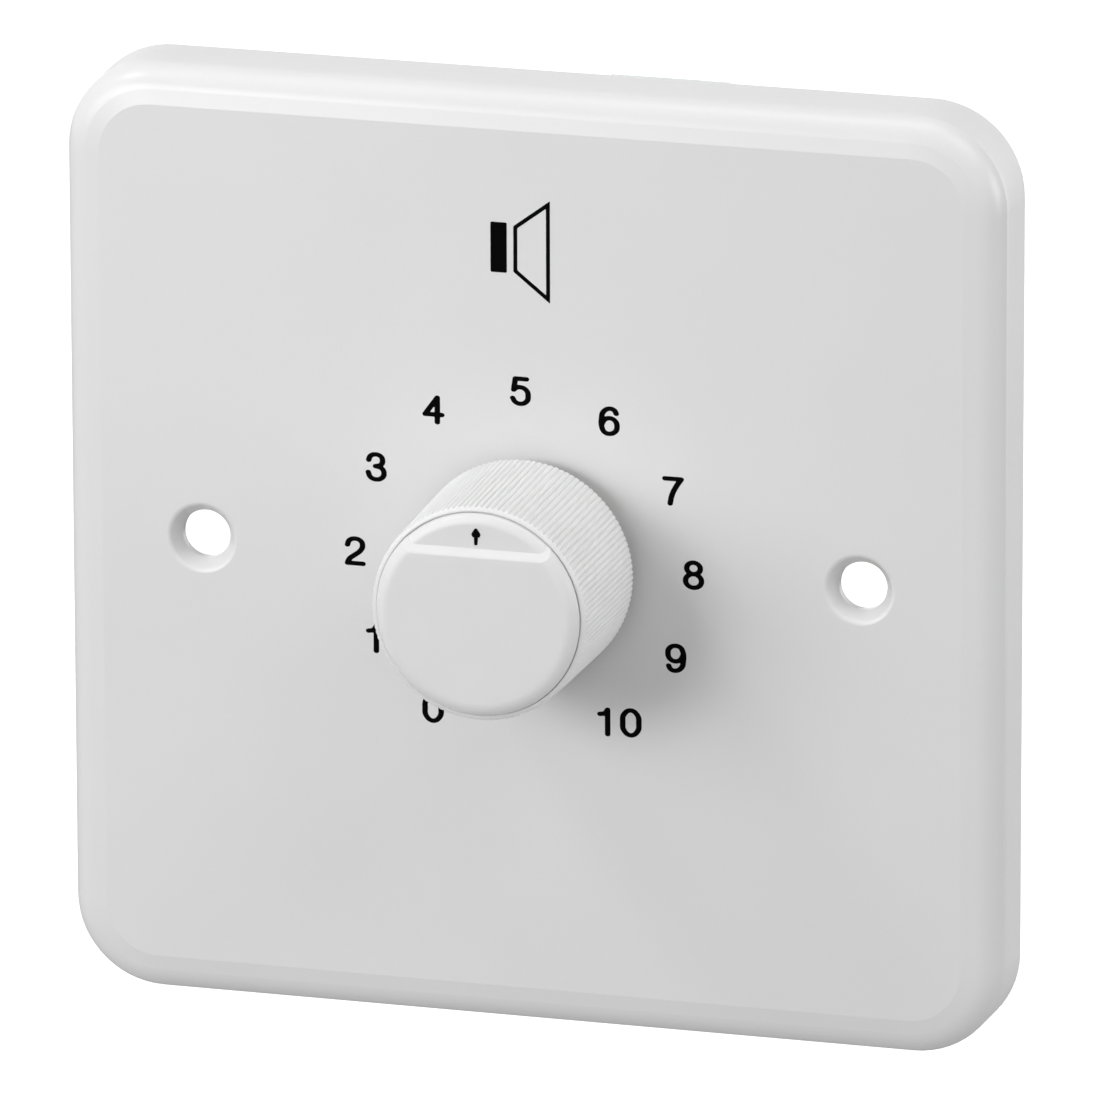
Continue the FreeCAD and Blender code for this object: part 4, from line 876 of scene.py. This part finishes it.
board = {
    "front": 5.6,  # depths of the board's two faces
    "rear": 7.2,
    "contacts": 11,
    "contactCircle": 8.6,
    "contactStep": 30,
    "commonPin": (0.0, -4.4),
    "pinRows": 12.2,
    "pinRowMiddle": 14.0,
    "pinsPerRow": 6,
    "pinStep": 3.0,
    "terminals": 4,
    "terminalStep": 5.08,
    "terminalLegs": -24.1,
    "joint": [(0.0, -0.03), (1.02, -0.03), (1.02, 0.03), (0.78, 0.12), (0.62, 0.32), (0.52, 0.62),
              (0.45, 0.86), (0.3, 0.95), (0.0, 0.97)],  # radius and height
    "jointSides": 16,
    "jointSmooth": 50,
    "legStretch": 1.35,  # the terminal legs are wider than the pins
    "ballLevel": 2,
}

# Centre lines in X and Z; on the front each bobbin pin has a short track of its own that bends inwards
tracks = {
    "width": 0.9,
    "height": 0.05,
    "bend": 2.2,
    "end": 5.4,
    "rear": [
        [(-7.62, -24.1), (-7.62, -13.5), (-12.2, -9.0), (-12.2, 6.5)],
        [(-2.54, -24.1), (-2.54, -13.2), (0.0, -10.6), (0.0, -4.4)],
        [(2.54, -24.1), (2.54, -14.8), (4.3, -13.0), (4.3, -7.45)],
        [(7.62, -24.1), (7.62, -13.0), (12.2, -8.4), (12.2, 6.5)],
        [(-7.45, -4.3), (-9.4, -5.4), (-14.8, 0.0), (-14.8, 8.0), (-12.2, 9.5)],
        [(7.45, -4.3), (9.4, -5.4), (14.8, 0.0), (14.8, 8.0), (12.2, 9.5)],
        [(-4.3, -7.45), (-4.3, -11.0), (-8.6, -15.3), (-17.0, -6.9), (-17.0, 9.0), (-12.2, 12.5)],
        [(-8.6, 0.0), (-10.6, 1.2), (-10.6, 16.0)],
        [(8.6, 0.0), (10.6, 1.2), (10.6, 16.0)],
    ],
}

# Round the terminal block and along the switch's and the transformer's edges
printedOutlines = {
    "width": 0.2,
    "height": 0.03,
    "rear": [
        [(-11.3, -31.9), (-11.3, -21.3), (11.3, -21.3), (11.3, -31.9), (-11.3, -31.9)],
        [(-14.6, 4.6), (-14.6, -4.8), (14.6, -4.8), (14.6, 4.6)],
        [(-14.6, 23.4), (-14.6, 32.6), (14.6, 32.6), (14.6, 23.4)],
    ],
}


def evenly(count, step):
    # positions in a row whose middle is at zero
    return [(number - (count - 1) / 2) * step for number in range(count)]


def contactPins():
    ring = board["contactCircle"]
    turns = [math.radians(turn) for turn in evenly(board["contacts"], board["contactStep"])]
    return [(ring * math.sin(turn), ring * math.cos(turn)) for turn in turns]


def bobbinPins():
    return [(side * board["pinRows"], board["pinRowMiddle"] + z)
            for side in (-1, 1) for z in evenly(board["pinsPerRow"], board["pinStep"])]


def terminalLegs():
    return [(x, board["terminalLegs"]) for x in evenly(board["terminals"], board["terminalStep"])]


def solderJoint(stretch, side):
    # concave fillet spun about its pin, standing on the board
    shape = bmesh.new()
    outline = [shape.verts.new((radius, height, 0)) for radius, height in board["joint"]]
    edges = [shape.edges.new(pair) for pair in zip(outline, outline[1:])]
    bmesh.ops.spin(shape, geom=outline + edges, cent=(0, 0, 0), axis=(0, 1, 0), angle=2 * math.pi,
                   steps=board["jointSides"], use_merge=True)
    bmesh.ops.remove_doubles(shape, verts=shape.verts, dist=samePoint)
    bmesh.ops.scale(shape, vec=(stretch, side, 1), verts=shape.verts)
    bmesh.ops.recalc_face_normals(shape, faces=shape.faces)
    mesh = bpy.data.meshes.new("joint")
    shape.to_mesh(mesh)
    shape.free()
    return mesh


def solderJoints(name, places, level, side):
    shape = bmesh.new()
    for x, z, stretch in places:
        joint = solderJoint(stretch, side)
        joint.transform(Matrix.Translation((x, level, z)))
        shape.from_mesh(joint)
    mesh = meshInMetres(shape, name)
    shadeSmooth(mesh, board["jointSmooth"])
    return makePiece(name, mesh, solder, "plate_assembly")


def flatLines(name, lines, look, level, material):
    # low rounded bands on the board, such as tracks and printed outlines
    strokes = strokeMesh([([(x, z, "c") for x, z in points], False) for points in lines], look["width"],
                         board["ballLevel"])
    strokes.transform(Matrix.Diagonal((1, look["height"] / (look["width"] / 2), 1, 1)))
    strokes.transform(Matrix.Translation((0, level, 0)))
    shape = bmesh.new()
    shape.from_mesh(strokes)
    mesh = meshInMetres(shape, name)
    shadeSmooth(mesh)
    return makePiece(name, mesh, material, "plate_assembly")


def boardDetails():
    rear = [(x, z, 1.0) for x, z in contactPins() + [board["commonPin"]]]
    front = [(x, z, 1.0) for x, z in bobbinPins()] + [(x, z, board["legStretch"]) for x, z in terminalLegs()]
    solderJoints("solder_rear", rear, board["rear"], 1)
    solderJoints("solder_front", front, board["front"], -1)
    flatLines("tracks_rear", tracks["rear"], tracks, board["rear"], trackCopper)
    frontTracks = []
    for x, z in bobbinPins():
        side, low = math.copysign(1, x), z - tracks["bend"]
        frontTracks.append([(x, z), (x - side * tracks["bend"], low), (x - side * tracks["end"], low)])
    flatLines("tracks_front", frontTracks, tracks, board["front"], trackCopper)
    flatLines("legend_rear", printedOutlines["rear"], printedOutlines, board["rear"], legendWhite)


boardDetails()
print("board details done")


# Marks of making: the tape's loose end on the winding and the ejector marks inside the plate

tapeEnd = {
    "thickness": 0.06,
    "corner": 3.25,
    "cornerSteps": 8,
    "start": -6.0,
    "end": 17.5,
    "slant": 0.12,
    "inset": 0.15,
    "smooth": 40,
}


def tapeOverlap(look):
    # the last turn of tape comes round a corner of the winding and ends with a slanted cut
    low, high = (Vector(corner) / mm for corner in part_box("winding_tape"))
    shape = bmesh.new()
    front = low.y + look["inset"]
    rear = high.y - look["inset"]
    centre = (low.x + look["corner"], front, low.z + look["corner"])
    first = shape.verts.new((look["start"], front, low.z))
    second = shape.verts.new((low.x + look["corner"], front, low.z))
    shape.edges.new((first, second))
    spun = bmesh.ops.spin(shape, geom=[second], cent=centre, axis=(0, 1, 0), angle=math.pi / 2,
                          steps=look["cornerSteps"])
    turned = [v for v in spun["geom_last"] if isinstance(v, bmesh.types.BMVert)][0]
    last = shape.verts.new((low.x, front, look["end"]))
    shape.edges.new((turned, last))
    swept = bmesh.ops.extrude_edge_only(shape, edges=list(shape.edges))
    moved = [v for v in swept["geom"] if isinstance(v, bmesh.types.BMVert)]
    bmesh.ops.translate(shape, verts=moved, vec=(0, rear - front, 0))
    for vert in shape.verts:
        if abs(vert.co.z - look["end"]) < samePoint:
            vert.co.z += (vert.co.y - front) * look["slant"]
    bmesh.ops.recalc_face_normals(shape, faces=shape.faces)
    bmesh.ops.solidify(shape, geom=list(shape.faces), thickness=-look["thickness"])
    bmesh.ops.recalc_face_normals(shape, faces=shape.faces)
    mesh = meshInMetres(shape, "tape")
    shadeSmooth(mesh, look["smooth"])
    return makePiece("winding_tape_end", mesh, tapeYellow, "plate_assembly")


ejectorMarks = {
    "level": -5.4,  # the plate's inner face
    "radius": 2.0,
    "height": 0.06,
    "edge": 0.05,
    "edgeSteps": 2,
    "sides": 32,
    "smooth": 40,
    "places": [(35.5, 35.5), (36.0, 14.0), (12.0, 35.0)],
}


def ejectorPads(look):
    # faint round pads that the mould's pins leave on the plate's inner face, half sunk into it
    shape = bmesh.new()
    upright = Matrix.Rotation(math.pi / 2, 4, "X")
    spots = [(signX * x, look["level"], signZ * z)
             for x, z in look["places"] for signX in (-1, 1) for signZ in (-1, 1)]
    for spot in spots:
        bmesh.ops.create_cone(shape, cap_ends=True, segments=look["sides"], radius1=look["radius"],
                              radius2=look["radius"], depth=2 * look["height"],
                              matrix=Matrix.Translation(spot) @ upright)
    rims = [edge for edge in shape.edges
            if all(vert.co.y > look["level"] for vert in edge.verts) and len(edge.link_faces) == 2]
    bmesh.ops.bevel(shape, geom=rims, offset=look["edge"], segments=look["edgeSteps"], profile=0.5,
                    affect="EDGES", material=-1)
    mesh = meshInMetres(shape, "pads")
    shadeSmooth(mesh, look["smooth"])
    return makePiece("ejector_marks", mesh, plateFinish, "plate_assembly")


tapeOverlap(tapeEnd)
ejectorPads(ejectorMarks)
print("marks of making done")
